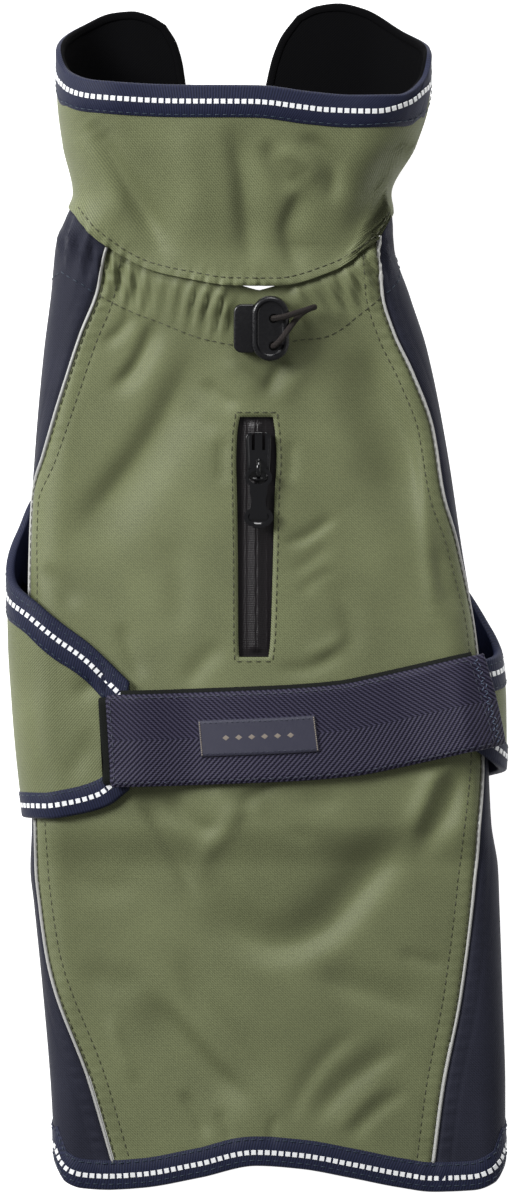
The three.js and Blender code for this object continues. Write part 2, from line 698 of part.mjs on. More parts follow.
const bellyFront = curveThrough(belly.rounds(bellyFrontRows), 'round', 'y');
const bellyRear = curveThrough(belly.rounds(bellyRearRows), 'round', 'y');
const wingEnd = (x) => (y) => belly.fromBack(band.over(x, y), y);
const bellyEdges = {
  left: wingEnd(bellyFrontRows[0].over),
  right: wingEnd(bellyFrontRows.at(-1).over),
  rear: bellyRear,
  front: bellyFront,
  startY: 190,
};
const bellyInset = { rear: REAR_BINDING + SEAM_GAP, front: FRONT_BINDING + SEAM_GAP };
const apron = { edges: bellyEdges, inset: bellyInset };
const bellyLiningTop = -BELLY_SHELL - SEAM_GAP;
const bellyLow = bellyLiningTop - LINING - BINDING_PROUD / 2;
add('belly_panel', panelWall(belly, apron, BELLY_COLUMNS, BELLY_ROWS, 0, -BELLY_SHELL), 'olive');
const bellyLining = panelWall(belly, apron, BELLY_COLUMNS, 4, bellyLiningTop, bellyLiningTop - LINING);
add('belly_lining', bellyLining, 'black');
const frontStations = leg(apron, ['front'], [0, 1], [1, 1], BELLY_COLUMNS);
const rearStations = leg(apron, ['rear'], [0, 0], [1, 0], BELLY_COLUMNS);
add('belly_binding_front', binding(belly, frontStations, BINDING_PROUD, bellyLow), 'binding');
add('belly_binding_rear', binding(belly, rearStations, BINDING_PROUD, bellyLow), 'binding');

// ---- Belt, its backing, the loop patch and the label ----------------------------------------------

const beltLine = curveThrough(band.rounds(beltRows), 'round', 'y');
const beltStart = band.over(beltRows[0].over, beltRows[0].y);
const beltEnd = band.over(beltRows.at(-1).over, beltRows.at(-1).y);
// Height of the belt's underside over the wings' surface: on the left wing's loop patch, on the back,
// on the right wing.
const ON_PATCH = BINDING_PROUD + LOOP + BACKING + 3 * SEAM_GAP;
const ON_BACK = -BAND_RISE + BACKING + 3 * SEAM_GAP;
const ON_WING = BINDING_PROUD + SEAM_GAP;
const OFF_PATCH = { x: -50, over: 26 }; // where the belt comes down off the patch, and in what width
const ONTO_WING = { x: 58, over: 24 };
const BELT_Y = 185;
const beltLow = (round) => {
  const x = round + band.measures(BELT_Y).centre;
  const offPatch = smoothstep((x - OFF_PATCH.x) / OFF_PATCH.over);
  const ontoWing = smoothstep((x - ONTO_WING.x) / ONTO_WING.over);
  return mix(mix(ON_PATCH, ON_BACK, offPatch), ON_WING, ontoWing);
};
function beltPlace(start, end, from, to) {
  return (u, v) => {
    const round = mix(start, end, u);
    const turn = slopeOf(beltLine, round);
    const way = mix(from, to, v) / Math.hypot(1, turn);
    return [round - way * turn, beltLine(round) + way];
  };
}
const half = BELT_WIDTH / 2;
const beltTop = (round) => beltLow(round) + BELT;
const beltSpan = beltPlace(beltStart, beltEnd, -half, half);
add('belt', wall(band, beltSpan, 34, 3, beltTop, beltLow), 'webbing');
const backingTop = (round) => beltLow(round) - SEAM_GAP;
const backingLow = (round) => backingTop(round) - BACKING;
const BACKING_FROM = 6; // behind the belt's free end
const BACKING_TO = 60;
const backingEnd = band.over(BACKING_TO, BELT_Y);
const backingStart = beltStart + BACKING_FROM;
const backingPlace = beltPlace(backingStart, backingEnd, -half + 2, half + BACKING_SHOWS);
add('belt_backing', wall(band, backingPlace, 24, 3, backingTop, backingLow), 'black');
const patchLow = BINDING_PROUD + SEAM_GAP;
const PATCH_SHOWS = 3.2; // the patch reaches past the belt's free end
const patchEnd = band.over(bellyFrontRows[0].over - 1.6, BELT_Y);
const patchPlace = beltPlace(beltStart - PATCH_SHOWS, patchEnd, -half + 1, half - 1);
add('loop_patch', wall(band, patchPlace, 3, 6, patchLow + LOOP, patchLow), 'black');
const labelFrom = band.over(LABEL.x - LABEL.length / 2, BELT_Y);
const labelTo = band.over(LABEL.x + LABEL.length / 2, BELT_Y);
const labelLow = (round) => beltTop(round) + SEAM_GAP;
const labelTop = (round) => labelLow(round) + LABEL.thick;
const labelPlace = beltPlace(labelFrom, labelTo, -LABEL.width / 2, LABEL.width / 2);
add('label', wall(band, labelPlace, 8, 1, labelTop, labelLow), 'webbing');

// ---- Zip pocket -------------------------------------------------------------------------------------

const tapeTop = -SHELL - SEAM_GAP;
const coilRise = (round, y) => {
  const x = coat.base(round, y).x - WINDOW.x;
  const inside = smoothstep((WINDOW.front - y - 1) / 3) * smoothstep((y - WINDOW.rear - 1) / 3);
  return ZIP_TAPE.coil * Math.exp(-((x / ZIP_TAPE.coilWidth) ** 2)) * inside;
};
const tapeEdge = WINDOW.width / 2 + ZIP_TAPE.margin;
// Its rows lie close together at the window's ends, so that the coil stays inside the window.
const tapeRows = [WINDOW.rear - ZIP_TAPE.margin, WINDOW.rear + 1, WINDOW.rear + 3];
const TAPE_ROWS = 7;
const tapeSpan = WINDOW.front - WINDOW.rear - 6;
for (let i = 1; i <= TAPE_ROWS; i += 1) tapeRows.push(WINDOW.rear + 3 + (tapeSpan * i) / TAPE_ROWS);
tapeRows.push(WINDOW.front - 1, WINDOW.front + ZIP_TAPE.margin);
const tapePlace = (u, v) => {
  const y = tapeRows[Math.round(v * (tapeRows.length - 1))];
  return [coat.over(WINDOW.x + mix(-tapeEdge, tapeEdge, u), y), y];
};
const tapeHigh = (round, y) => tapeTop + coilRise(round, y);
const tapeLow = tapeTop - ZIP_TAPE.thick;
add('zip_tape', wall(coat, tapePlace, 10, tapeRows.length - 1, tapeHigh, tapeLow), 'tape');

// A box with rounded corners seen from above, its foot at z 0.
function roundedPlate(width, length, thick, radius, edge = 0) {
  const x = width / 2 - edge;
  const y = length / 2 - edge;
  const r = Math.max(radius - edge, 0.1);
  const shape = new THREE.Shape();
  shape.moveTo(x - r, -y);
  shape.absarc(x - r, -y + r, r, -Math.PI / 2, 0);
  shape.absarc(x - r, y - r, r, 0, Math.PI / 2);
  shape.absarc(-x + r, y - r, r, Math.PI / 2, Math.PI);
  shape.absarc(-x + r, -y + r, r, Math.PI, 1.5 * Math.PI);
  const options = {
    depth: thick - 2 * edge,
    curveSegments: 6,
    bevelEnabled: edge > 0,
    bevelSize: edge,
    bevelThickness: edge,
    bevelSegments: 2,
  };
  return new THREE.ExtrudeGeometry(shape, options).translate(0, 0, edge);
}

const surfaceAt = (x, y, out = 0) => coat.point(coat.over(x, y), y, out);
const coilTop = tapeTop + ZIP_TAPE.coil;
const sliderFoot = surfaceAt(SLIDER.x, SLIDER.y, coilTop + SLIDER.clear);
const sliderBody = solidOf(roundedPlate(SLIDER.width, SLIDER.length, SLIDER.thick, 3, 0.5));
const ROOT = 0.5; // the bail's feet go this deep into the slider
const archOuter = solidOf(new THREE.BoxGeometry(BAIL.width, BAIL.length, BAIL.height + ROOT));
const underArch = BAIL.length - 2 * BAIL.thick;
const archInner = solidOf(new THREE.BoxGeometry(BAIL.width + 1, underArch, BAIL.height));
const arch = archOuter
  .translate([0, 0, (BAIL.height - ROOT) / 2])
  .subtract(archInner.translate([0, 0, BAIL.height / 2 - BAIL.thick]));
const slider = sliderBody.add(arch.translate([0, -BAIL.back, SLIDER.thick]));
const sliderMesh = add('zip_slider', geometryOf(slider), 'lacquer');
sliderMesh.position.copy(sliderFoot);

// The pull: a ring whose far bar runs under the bail, and a tab with an oval dip at its end.
function oval(width, length, segments = 12) {
  const shape = new THREE.Shape();
  shape.absellipse(0, 0, width / 2, length / 2, 0, 2 * Math.PI);
  return shape.getPoints(segments).slice(0, -1);
}
function ovalPrism(width, length, from, to) {
  const shape = new THREE.Shape(oval(width, length));
  const options = { depth: to - from, bevelEnabled: false };
  return solidOf(new THREE.ExtrudeGeometry(shape, options).translate(0, 0, from));
}
const pullHalf = PULL.thick / 2;
const ring = ovalPrism(PULL_RING.width, PULL_RING.length, -pullHalf, pullHalf)
  .subtract(ovalPrism(PULL_RING.width - 2 * PULL.bar, PULL_RING.length - 2 * PULL.bar, -2, 2))
  .translate([0, -PULL_RING.length / 2 + PULL.bar / 2, 0]);
const tabFrom = -PULL_RING.length + PULL.bar;
const tabTo = -PULL.length + PULL.dip / 2;
const tabLength = tabFrom - tabTo;
const dent = ovalPrism(PULL.tip - 2 * PULL.rim, PULL.dip - 2 * PULL.rim + 1, pullHalf - 0.5, 2);
const tab = solidOf(roundedPlate(PULL.width, tabLength + 2, PULL.thick, 0.8))
  .translate([0, (tabFrom + tabTo) / 2, -pullHalf])
  .add(ovalPrism(PULL.tip, PULL.dip + 1, -pullHalf, pullHalf).translate([0, tabTo, 0]))
  .subtract(dent.translate([0, tabTo, 0]));
const pull = ring.add(tab);
const hingeHeight = SLIDER.thick + (BAIL.height - BAIL.thick) / 2;
const pullMesh = add('zip_pull', geometryOf(pull), 'lacquer');
pullMesh.position.copy(sliderFoot).add(new THREE.Vector3(0, -BAIL.back, hingeHeight));
pullMesh.rotation.x = PULL_REST;

// ---- Cord lock and its cord ---------------------------------------------------------------------------

const lockFoot = surfaceAt(LOCK.x, LOCK.y, LOCK.seat);
const ahead = surfaceAt(LOCK.x, LOCK.y + 8);
const behindLock = surfaceAt(LOCK.x, LOCK.y - 8);
const lockTilt = Math.atan2(ahead.z - behindLock.z, 16);
const lock = new THREE.Group();
lock.position.copy(lockFoot);
lock.rotation.x = lockTilt;
group.add(lock);

function cylinder(radiusTop, radiusFoot, from, to, segments = 20) {
  const shape = new THREE.CylinderGeometry(radiusTop, radiusFoot, to - from, segments);
  return solidOf(shape.rotateX(Math.PI / 2).translate(0, 0, (from + to) / 2));
}
const lockTop = LOCK.thick;
const lockPlate = roundedPlate(LOCK.width, LOCK.length, LOCK.thick, LOCK.width / 2 - 0.01, LOCK.edge);
// A raised rim runs round its top.
const faceWidth = LOCK.width - LOCK_TOP.rim;
const faceLength = LOCK.length - LOCK_TOP.rim;
const sunkTop = ovalPrism(faceWidth, faceLength, lockTop - LOCK_TOP.sunk, lockTop + 1);
const holes = [1, -1].map((end) => [LOCK_HOLE.offset, (end * LOCK_HOLE.apart) / 2 + LOCK_HOLE.back, 0]);
const holeShapes = holes.flatMap((at) => [
  cylinder(LOCK_HOLE.radius, LOCK_HOLE.radius, lockTop - LOCK_HOLE.depth, lockTop + 1).translate(at),
  cylinder(LOCK_HOLE.mouth, LOCK_HOLE.radius, lockTop - LOCK_HOLE.flare, lockTop - 0.6).translate(at),
]);
// The plunger slides in a pocket open to the left, with room for its travel.
const stemDepth = PLUNGER.stem + PLUNGER.travel + 0.3;
const pocketLength = stemDepth + 5;
const pocketWidth = PLUNGER.width + 2 * PLUNGER.clearance;
const pocketThick = PLUNGER.thick + 2 * PLUNGER.clearance;
const pocket = solidOf(new THREE.BoxGeometry(pocketLength, pocketWidth, pocketThick));
const pocketX = -LOCK.width / 2 + stemDepth - pocketLength / 2;
const hollows = [sunkTop, ...holeShapes, pocket.translate([pocketX, 0, LOCK.thick / 2])];
const barrel = hollows.reduce((solid, hollow) => solid.subtract(hollow), solidOf(lockPlate));
add('toggle_barrel', geometryOf(barrel), 'plastic', lock);

const plungerLength = PLUNGER.shows + PLUNGER.stem;
const plungerPlate = roundedPlate(plungerLength, PLUNGER.width, PLUNGER.thick, 2.4, 0.8);
const plungerX = -LOCK.width / 2 + PLUNGER.stem - plungerLength / 2;
plungerPlate.translate(plungerX, 0, (LOCK.thick - PLUNGER.thick) / 2);
add('toggle_plunger', plungerPlate, 'plastic', lock);

// The elastic's loop, from the front hole's mouth: up and out, round its end, and back under itself
// into the rear hole.
const cordRows = [
  { x: 0, y: 0, z: -3.4 },
  { x: 0.1, y: 0, z: -0.9 },
  { x: 1.2, y: 0.2, z: 1.3 },
  { x: 3.8, y: 0.7, z: 2.3 },
  { x: 7, y: 1.6, z: 1.8 },
  { x: 10.2, y: 2.6, z: 0.8 },
  { x: 13.2, y: 3.5, z: -0.1 },
  { x: 15.4, y: 4.2, z: -1.1 },
  { x: 16.3, y: 4.4, z: -3.2 },
  { x: 15.4, y: 4.1, z: -5.3 },
  { x: 13.2, y: 3.1, z: -6.2 },
  { x: 10.6, y: 1.3, z: -4.8 },
  { x: 8.6, y: -0.9, z: -1.9 },
  { x: 6.2, y: -4, z: 1.1 },
  { x: 3.5, y: -7.6, z: 2.5 },
  { x: 1.2, y: -10.1, z: 1.3 },
  { x: 0.1, y: -11, z: -0.9 },
  { x: 0, y: -11, z: -3.4 },
];
const cordPath = new THREE.CatmullRomCurve3(
  cordRows.map(({ x, y, z }) => new THREE.Vector3(x + holes[0][0], y + holes[0][1], z + LOCK.thick)),
);
const cordSection = new THREE.Shape(oval(CORD, CORD, 4));
const cordTube = new THREE.ExtrudeGeometry(cordSection, { steps: 44, extrudePath: cordPath });
add('drawcord', cordTube, 'elastic', lock);

// ---- The whole, with its origin under the middle of its box --------------------------------------------

group.updateMatrixWorld(true);
const bounds = new THREE.Box3().setFromObject(group, true);
const middle = bounds.getCenter(new THREE.Vector3());
group.position.set(-middle.x, -middle.y, -bounds.min.z);
group.updateMatrixWorld(true);

export default group;
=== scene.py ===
"""A dog's winter coat with a funnel collar, empty and lying on its belly."""
import json
import math
import bpy
import numpy as np
from mathutils import Matrix, Vector
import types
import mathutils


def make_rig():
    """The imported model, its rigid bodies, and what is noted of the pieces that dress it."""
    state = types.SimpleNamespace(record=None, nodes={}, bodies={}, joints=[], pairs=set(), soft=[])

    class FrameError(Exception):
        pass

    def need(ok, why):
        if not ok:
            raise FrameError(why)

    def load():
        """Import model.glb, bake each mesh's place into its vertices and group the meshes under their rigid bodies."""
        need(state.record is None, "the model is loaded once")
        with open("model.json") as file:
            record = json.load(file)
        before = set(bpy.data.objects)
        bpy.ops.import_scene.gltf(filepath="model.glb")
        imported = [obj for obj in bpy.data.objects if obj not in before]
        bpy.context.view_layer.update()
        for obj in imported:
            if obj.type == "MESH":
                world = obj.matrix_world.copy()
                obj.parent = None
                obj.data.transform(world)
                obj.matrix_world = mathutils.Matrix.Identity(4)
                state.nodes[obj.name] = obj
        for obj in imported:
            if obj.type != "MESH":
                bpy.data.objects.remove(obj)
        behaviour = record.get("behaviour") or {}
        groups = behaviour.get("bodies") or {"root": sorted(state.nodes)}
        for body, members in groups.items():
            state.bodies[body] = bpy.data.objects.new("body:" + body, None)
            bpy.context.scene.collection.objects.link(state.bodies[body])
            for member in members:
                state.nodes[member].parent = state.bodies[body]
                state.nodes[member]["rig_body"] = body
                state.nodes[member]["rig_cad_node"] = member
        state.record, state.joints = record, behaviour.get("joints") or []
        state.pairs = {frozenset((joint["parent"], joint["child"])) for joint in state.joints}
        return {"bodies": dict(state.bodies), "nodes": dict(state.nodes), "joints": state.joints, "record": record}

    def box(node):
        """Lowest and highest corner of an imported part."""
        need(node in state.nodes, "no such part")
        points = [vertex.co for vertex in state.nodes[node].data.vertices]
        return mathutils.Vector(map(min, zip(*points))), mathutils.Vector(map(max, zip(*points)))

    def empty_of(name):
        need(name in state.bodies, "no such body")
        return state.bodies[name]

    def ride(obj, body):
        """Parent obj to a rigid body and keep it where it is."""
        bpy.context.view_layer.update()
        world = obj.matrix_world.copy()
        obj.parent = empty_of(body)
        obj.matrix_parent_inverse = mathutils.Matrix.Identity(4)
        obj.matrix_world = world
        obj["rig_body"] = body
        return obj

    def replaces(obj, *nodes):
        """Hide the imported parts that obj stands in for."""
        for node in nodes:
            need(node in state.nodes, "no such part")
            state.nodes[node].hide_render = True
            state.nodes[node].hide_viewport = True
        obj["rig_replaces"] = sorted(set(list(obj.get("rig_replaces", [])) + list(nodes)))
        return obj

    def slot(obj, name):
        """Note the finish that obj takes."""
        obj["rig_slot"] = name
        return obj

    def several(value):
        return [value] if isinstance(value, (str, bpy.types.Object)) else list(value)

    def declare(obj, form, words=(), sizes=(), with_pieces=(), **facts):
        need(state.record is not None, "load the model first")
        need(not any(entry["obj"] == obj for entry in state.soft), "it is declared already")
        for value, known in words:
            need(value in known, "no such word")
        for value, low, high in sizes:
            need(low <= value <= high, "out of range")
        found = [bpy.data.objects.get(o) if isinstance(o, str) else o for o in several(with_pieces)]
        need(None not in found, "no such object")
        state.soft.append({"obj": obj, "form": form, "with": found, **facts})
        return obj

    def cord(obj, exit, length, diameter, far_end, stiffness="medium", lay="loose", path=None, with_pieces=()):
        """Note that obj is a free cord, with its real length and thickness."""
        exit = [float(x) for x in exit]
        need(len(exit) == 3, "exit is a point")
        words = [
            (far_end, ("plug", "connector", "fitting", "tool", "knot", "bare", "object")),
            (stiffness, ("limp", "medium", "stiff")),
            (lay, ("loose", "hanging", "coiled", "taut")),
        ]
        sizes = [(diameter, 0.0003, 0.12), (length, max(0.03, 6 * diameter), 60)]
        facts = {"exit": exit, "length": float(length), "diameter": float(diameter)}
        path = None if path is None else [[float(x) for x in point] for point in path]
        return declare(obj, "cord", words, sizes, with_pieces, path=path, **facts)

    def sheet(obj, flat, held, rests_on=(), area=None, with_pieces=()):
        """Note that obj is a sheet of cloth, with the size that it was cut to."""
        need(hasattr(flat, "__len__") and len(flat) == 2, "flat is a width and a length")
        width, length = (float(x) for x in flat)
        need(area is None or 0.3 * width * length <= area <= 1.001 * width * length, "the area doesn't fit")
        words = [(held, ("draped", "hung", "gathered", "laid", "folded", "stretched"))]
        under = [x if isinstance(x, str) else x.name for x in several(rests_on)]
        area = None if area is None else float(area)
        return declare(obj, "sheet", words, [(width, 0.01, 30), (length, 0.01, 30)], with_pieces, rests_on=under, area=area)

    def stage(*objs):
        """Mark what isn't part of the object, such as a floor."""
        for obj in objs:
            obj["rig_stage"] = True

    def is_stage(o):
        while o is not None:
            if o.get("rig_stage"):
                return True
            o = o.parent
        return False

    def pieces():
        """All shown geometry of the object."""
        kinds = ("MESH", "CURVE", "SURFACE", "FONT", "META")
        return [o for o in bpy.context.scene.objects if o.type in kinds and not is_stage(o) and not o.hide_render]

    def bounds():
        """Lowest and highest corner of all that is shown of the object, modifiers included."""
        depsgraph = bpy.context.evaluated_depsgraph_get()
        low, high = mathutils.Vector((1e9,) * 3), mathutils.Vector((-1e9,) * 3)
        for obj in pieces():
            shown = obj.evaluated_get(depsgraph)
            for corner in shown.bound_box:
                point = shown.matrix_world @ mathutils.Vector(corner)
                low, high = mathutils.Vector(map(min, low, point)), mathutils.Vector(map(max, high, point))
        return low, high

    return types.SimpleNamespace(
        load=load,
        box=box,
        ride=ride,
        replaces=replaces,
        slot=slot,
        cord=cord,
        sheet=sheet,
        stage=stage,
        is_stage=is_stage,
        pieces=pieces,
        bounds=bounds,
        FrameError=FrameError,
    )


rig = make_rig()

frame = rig.load()
cad_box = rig.bounds()

# ---- Table, light and camera -----------------------------------------------------------------------
# A pale board under the coat, a strong soft box at its left, a weaker one beyond the neck and a faint
# one at its right, and a camera high above the coat's middle, looking straight down, neck at the top.

MM = 0.001
BOARD = 3.0
BOARD_GLOW = 0.95  # the board is lit through from below, so that it stays pale in the shadows
STUDIO_GLOW = 0.2  # the pale room round the board
CAMERA_HEIGHT = 4.0
MIDDLE_Y, CLOTH_HEIGHT = 237.6, 36  # where the camera is aimed, in the coat's own millimetres
SEEN_LENGTH = 480 * MM  # the length of coat and margin that the picture takes in
SLIDER_X, SLIDER_Y = 0.8, 295  # the zip slider's middle

# The coat is cut in millimetres from the middle of its hem. This moves those to the frame.
slider_low, slider_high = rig.box("zip_slider")
slider_middle = (slider_low + slider_high) / 2
HEM_MIDDLE = np.array([slider_middle.x - SLIDER_X * MM, slider_middle.y - SLIDER_Y * MM, 0])


def in_frame(points):
    """Points in the coat's millimetres, as metres in the frame."""
    return np.asarray(points, float) * MM + HEM_MIDDLE


bpy.ops.mesh.primitive_plane_add(size=BOARD, location=(0, 0, -0.2 * MM))
board = bpy.context.object
board.name = "board"
board_paint = bpy.data.materials.new("board_paint")
board_paint.use_nodes = True
board_shader = board_paint.node_tree.nodes["Principled BSDF"]
board_shader.inputs["Base Color"].default_value = (0.6, 0.6, 0.6, 1)
board_shader.inputs["Roughness"].default_value = 0.9
board_shader.inputs["Emission Color"].default_value = (1, 1, 1, 1)
board_shader.inputs["Emission Strength"].default_value = BOARD_GLOW
board.data.materials.append(board_paint)
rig.stage(board)


def soft_box(name, place, size, power):
    """A square area light aimed at the coat: its place and side in metres, and its watts."""
    light = bpy.data.lights.new(name, "AREA")
    light.shape = "SQUARE"
    light.size = size
    light.energy = power
    lamp = bpy.data.objects.new(name, light)
    lamp.location = place
    lamp.rotation_euler = (-Vector(place)).to_track_quat("-Z", "Y").to_euler()
    bpy.context.collection.objects.link(lamp)


soft_box("left_box", (-1.3, 0.7, 1.15), 0.7, 45)
soft_box("right_box", (1.5, -0.3, 1.5), 1.2, 4)
soft_box("neck_box", (0.1, 1.7, 1.1), 0.9, 23)
world = bpy.data.worlds.new("studio")
world.use_nodes = True
world.node_tree.nodes["Background"].inputs["Color"].default_value = (1, 1, 1, 1)
world.node_tree.nodes["Background"].inputs["Strength"].default_value = STUDIO_GLOW
bpy.context.scene.world = world
bpy.context.scene.view_settings.view_transform = "Standard"

camera_data = bpy.data.cameras.new("camera")
camera = bpy.data.objects.new("camera", camera_data)
bpy.context.collection.objects.link(camera)
camera.location = (HEM_MIDDLE[0], HEM_MIDDLE[1] + MIDDLE_Y * MM, CAMERA_HEIGHT)
camera_data.sensor_width = 36
camera_data.lens = camera_data.sensor_width * (CAMERA_HEIGHT - CLOTH_HEIGHT * MM) / SEEN_LENGTH
camera_data.clip_end = 20
bpy.context.scene.camera = camera


# ---- Drawcord --------------------------------------------------------------------------------------
# Round braided elastic, 2.4 mm thick, pulled through the cord lock as a loop. It leaves the front
# hole, turns round on itself above the cloth and goes back into the rear hole.

CORD, CORD_SIDES = 2.4, 12
BRAID_PITCH, BRAID_SLOPE = 0.9, 1.2
LOCK_TILT = math.radians(3.65)  # the lock leans with the slope of the gathered neck
LOCK_THICK = 9
HOLE_X, FRONT_HOLE_Y, HOLES_APART = 1.2, 4.1, 11
# From the front hole's mouth, in millimetres along the lock.
loop_points = [
    (0, 0, -3.4), (0.1, 0, -0.9), (1.2, 0.2, 1.3), (3.8, 0.7, 2.3), (7, 1.6, 1.8), (10.2, 2.6, 0.8),
    (13.2, 3.5, -0.1), (15.4, 4.2, -1.1), (16.3, 4.4, -3.2), (15.4, 4.1, -5.3), (13.2, 3.1, -6.2),
    (10.6, 1.3, -4.8), (8.6, -0.9, -1.9), (6.2, -4, 1.1), (3.5, -7.6, 2.5), (1.2, -10.1, 1.3),
    (0.1, -11, -0.9), (0, -11, -3.4),
]

# The lock's own frame: its foot's middle, leaning by the tilt.
lock_low, lock_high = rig.box("toggle_barrel")
lock_turn = Matrix.Rotation(LOCK_TILT, 4, "X")
lock_place = Matrix.Translation((lock_low + lock_high) / 2) @ lock_turn
lock_place = lock_place @ Matrix.Translation((0, 0, -LOCK_THICK * MM / 2))


def smooth_route(points, steps):
    """Points along a centripetal curve through the given ones, with steps to each span."""
    points = np.asarray(points, float)
    ends = [2 * points[0] - points[1], *points, 2 * points[-1] - points[-2]]
    route = []
    for p0, p1, p2, p3 in zip(ends, ends[1:], ends[2:], ends[3:]):
        t0 = 0
        t1 = np.linalg.norm(p1 - p0) ** 0.5
        t2 = t1 + np.linalg.norm(p2 - p1) ** 0.5
        t3 = t2 + np.linalg.norm(p3 - p2) ** 0.5
        for t in np.linspace(t1, t2, steps, endpoint=False):
            a1 = (p0 * (t1 - t) + p1 * (t - t0)) / (t1 - t0)
            a2 = (p1 * (t2 - t) + p2 * (t - t1)) / (t2 - t1)
            a3 = (p2 * (t3 - t) + p3 * (t - t2)) / (t3 - t2)
            b1 = (a1 * (t2 - t) + a2 * (t - t0)) / (t2 - t0)
            b2 = (a2 * (t3 - t) + a3 * (t - t1)) / (t3 - t1)
            route.append((b1 * (t2 - t) + b2 * (t - t1)) / (t2 - t1))
    return np.array([*route, points[-1]])


def mesh_piece(name, points, faces, uvs=None, materials=(), face_material=None, smooth=True):
    """A mesh object at the origin from points in metres. uvs has one pair for each point."""
    mesh = bpy.data.meshes.new(name)
    mesh.from_pydata(np.asarray(points).tolist(), [], faces)
    if uvs is not None:
        corner = np.empty(len(mesh.loops), np.int32)
        mesh.loops.foreach_get("vertex_index", corner)
        layer = mesh.uv_layers.new(name="cloth")
        layer.data.foreach_set("uv", np.asarray(uvs, np.float32)[corner].ravel())
    for material in materials:
        mesh.materials.append(material)
    if face_material is not None:
        mesh.polygons.foreach_set("material_index", np.asarray(face_material, np.int32))
    mesh.polygons.foreach_set("use_smooth", np.full(len(mesh.polygons), smooth))
    mesh.update()
    piece = bpy.data.objects.new(name, mesh)
    bpy.context.collection.objects.link(piece)
    return piece


def ring_faces(steps, sides):
    """The four-sided faces between the rings of a closed bar, and its two end faces."""
    index = np.arange(steps * sides).reshape(steps, sides)
    after = np.roll(index, -1, axis=1)
    faces = np.stack([index[:-1], after[:-1], after[1:], index[1:]], -1).reshape(-1, 4)
    return faces, [index[0][::-1].tolist(), index[-1].tolist()]


def tube(name, route, radius, sides, material):
    """A closed round tube along a route. Its UVs are metres along and metres round."""
    ahead = np.gradient(route, axis=0)
    ahead /= np.linalg.norm(ahead, axis=1)[:, None]
    side = np.cross(ahead[0], (0, 1, 0))
    rings, uvs = [], []
    along = np.r_[0, np.cumsum(np.linalg.norm(np.diff(route, axis=0), axis=1))]
    for centre, way, far in zip(route, ahead, along):
        side = side - way * side.dot(way)
        side /= np.linalg.norm(side)
        up = np.cross(side, way)
        for k in range(sides):
            turn = 2 * math.pi * k / sides
            rings.append(centre + radius * (math.cos(turn) * side + math.sin(turn) * up))
            uvs.append((far, radius * turn))
    faces, ends = ring_faces(len(route), sides)
    return mesh_piece(name, rings, faces.tolist() + ends, uvs, [material])


def shader_of(material):
    """The material's one surface shader."""
    return material.node_tree.nodes["Principled BSDF"]


def finish_of(name, colour, roughness, specular=0.5, sheen=0.0, coat=0.0):
    """A material with one colour, to which the sections add their weave or grain."""
    material = bpy.data.materials.new(name)
    material.use_nodes = True
    shader = shader_of(material)
    shader.inputs["Base Color"].default_value = (*colour, 1)
    shader.inputs["Roughness"].default_value = roughness
    shader.inputs["Specular IOR Level"].default_value = specular
    shader.inputs["Sheen Weight"].default_value = sheen
    shader.inputs["Coat Weight"].default_value = coat
    return material


def node(material, kind, *values, **settings):
    """A shader node. values go to its inputs in order: numbers, colours or other nodes' outputs."""
    made = material.node_tree.nodes.new("ShaderNode" + kind)
    for key, setting in settings.items():
        setattr(made, key, setting)
    for socket, value in zip(made.inputs, values):
        if isinstance(value, bpy.types.NodeSocket):
            material.node_tree.links.new(value, socket)
        elif value is not None:
            socket.default_value = value
    return made


def maths(material, operation, *values):
    """The output of one sum on numbers or other nodes' outputs."""
    return node(material, "Math", *values, operation=operation).outputs[0]


def uv_axes(material):
    """The piece's own UVs, in metres, as two outputs."""
    uv = node(material, "UVMap", uv_map="cloth").outputs[0]
    split = node(material, "SeparateXYZ", uv)
    return split.outputs[0], split.outputs[1]


def blend_colours(material, share, first, second):
    """A colour from first to second by share, from 0 to 1."""
    mixer = node(material, "Mix", share, data_type="RGBA")
    mixer.inputs[6].default_value = (*first, 1)
    mixer.inputs[7].default_value = (*second, 1)
    return mixer.outputs[2]


def paint(material, colour=None, height=None, depth=None, roughness=None):
    """Joins a colour, a bump of that depth in metres, and a roughness to the shader."""
    shader, links = shader_of(material), material.node_tree.links
    if colour is not None:
        links.new(colour, shader.inputs["Base Color"])
    if roughness is not None:
        links.new(roughness, shader.inputs["Roughness"])
    if height is not None:
        bump = node(material, "Bump")
        bump.inputs["Distance"].default_value = depth
        links.new(height, bump.inputs["Height"])
        links.new(bump.outputs[0], shader.inputs["Normal"])


def ribs_across(material, along, across, pitch, slope=0.0):
    """Waves from 0 to 1 that cross the cloth on that slant, pitch millimetres apart along it."""
    slanted = maths(material, "MULTIPLY_ADD", across, slope, along)
    turned = maths(material, "MULTIPLY", slanted, 2 * math.pi / (pitch * MM))
    return maths(material, "MULTIPLY_ADD", maths(material, "SINE", turned), 0.5, 0.5)


def woven(material, first, second, share, dark, light, depth):
    """Paints a weave: its second pattern counts for share of the first one's height, its hollows are
    dark and its threads light, and it is depth millimetres deep."""
    height = maths(material, "MULTIPLY_ADD", first, 1 - share, maths(material, "MULTIPLY", second, share))
    paint(material, blend_colours(material, height, dark, light), height, depth * MM)


def cloth_noise(material, along, across, scale):
    """Fine specks over the cloth's own UVs."""
    place = node(material, "CombineXYZ", along, across).outputs[0]
    return node(material, "TexNoise", place, None, scale, 2.0).outputs[0]


def sew_in(piece, node_name, stands_for=True):
    """Fixes a piece to the coat, in the place of that node or as a part of it."""
    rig.ride(piece, "coat")
    if stands_for:
        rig.replaces(piece, node_name)
    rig.slot(piece, node_name)


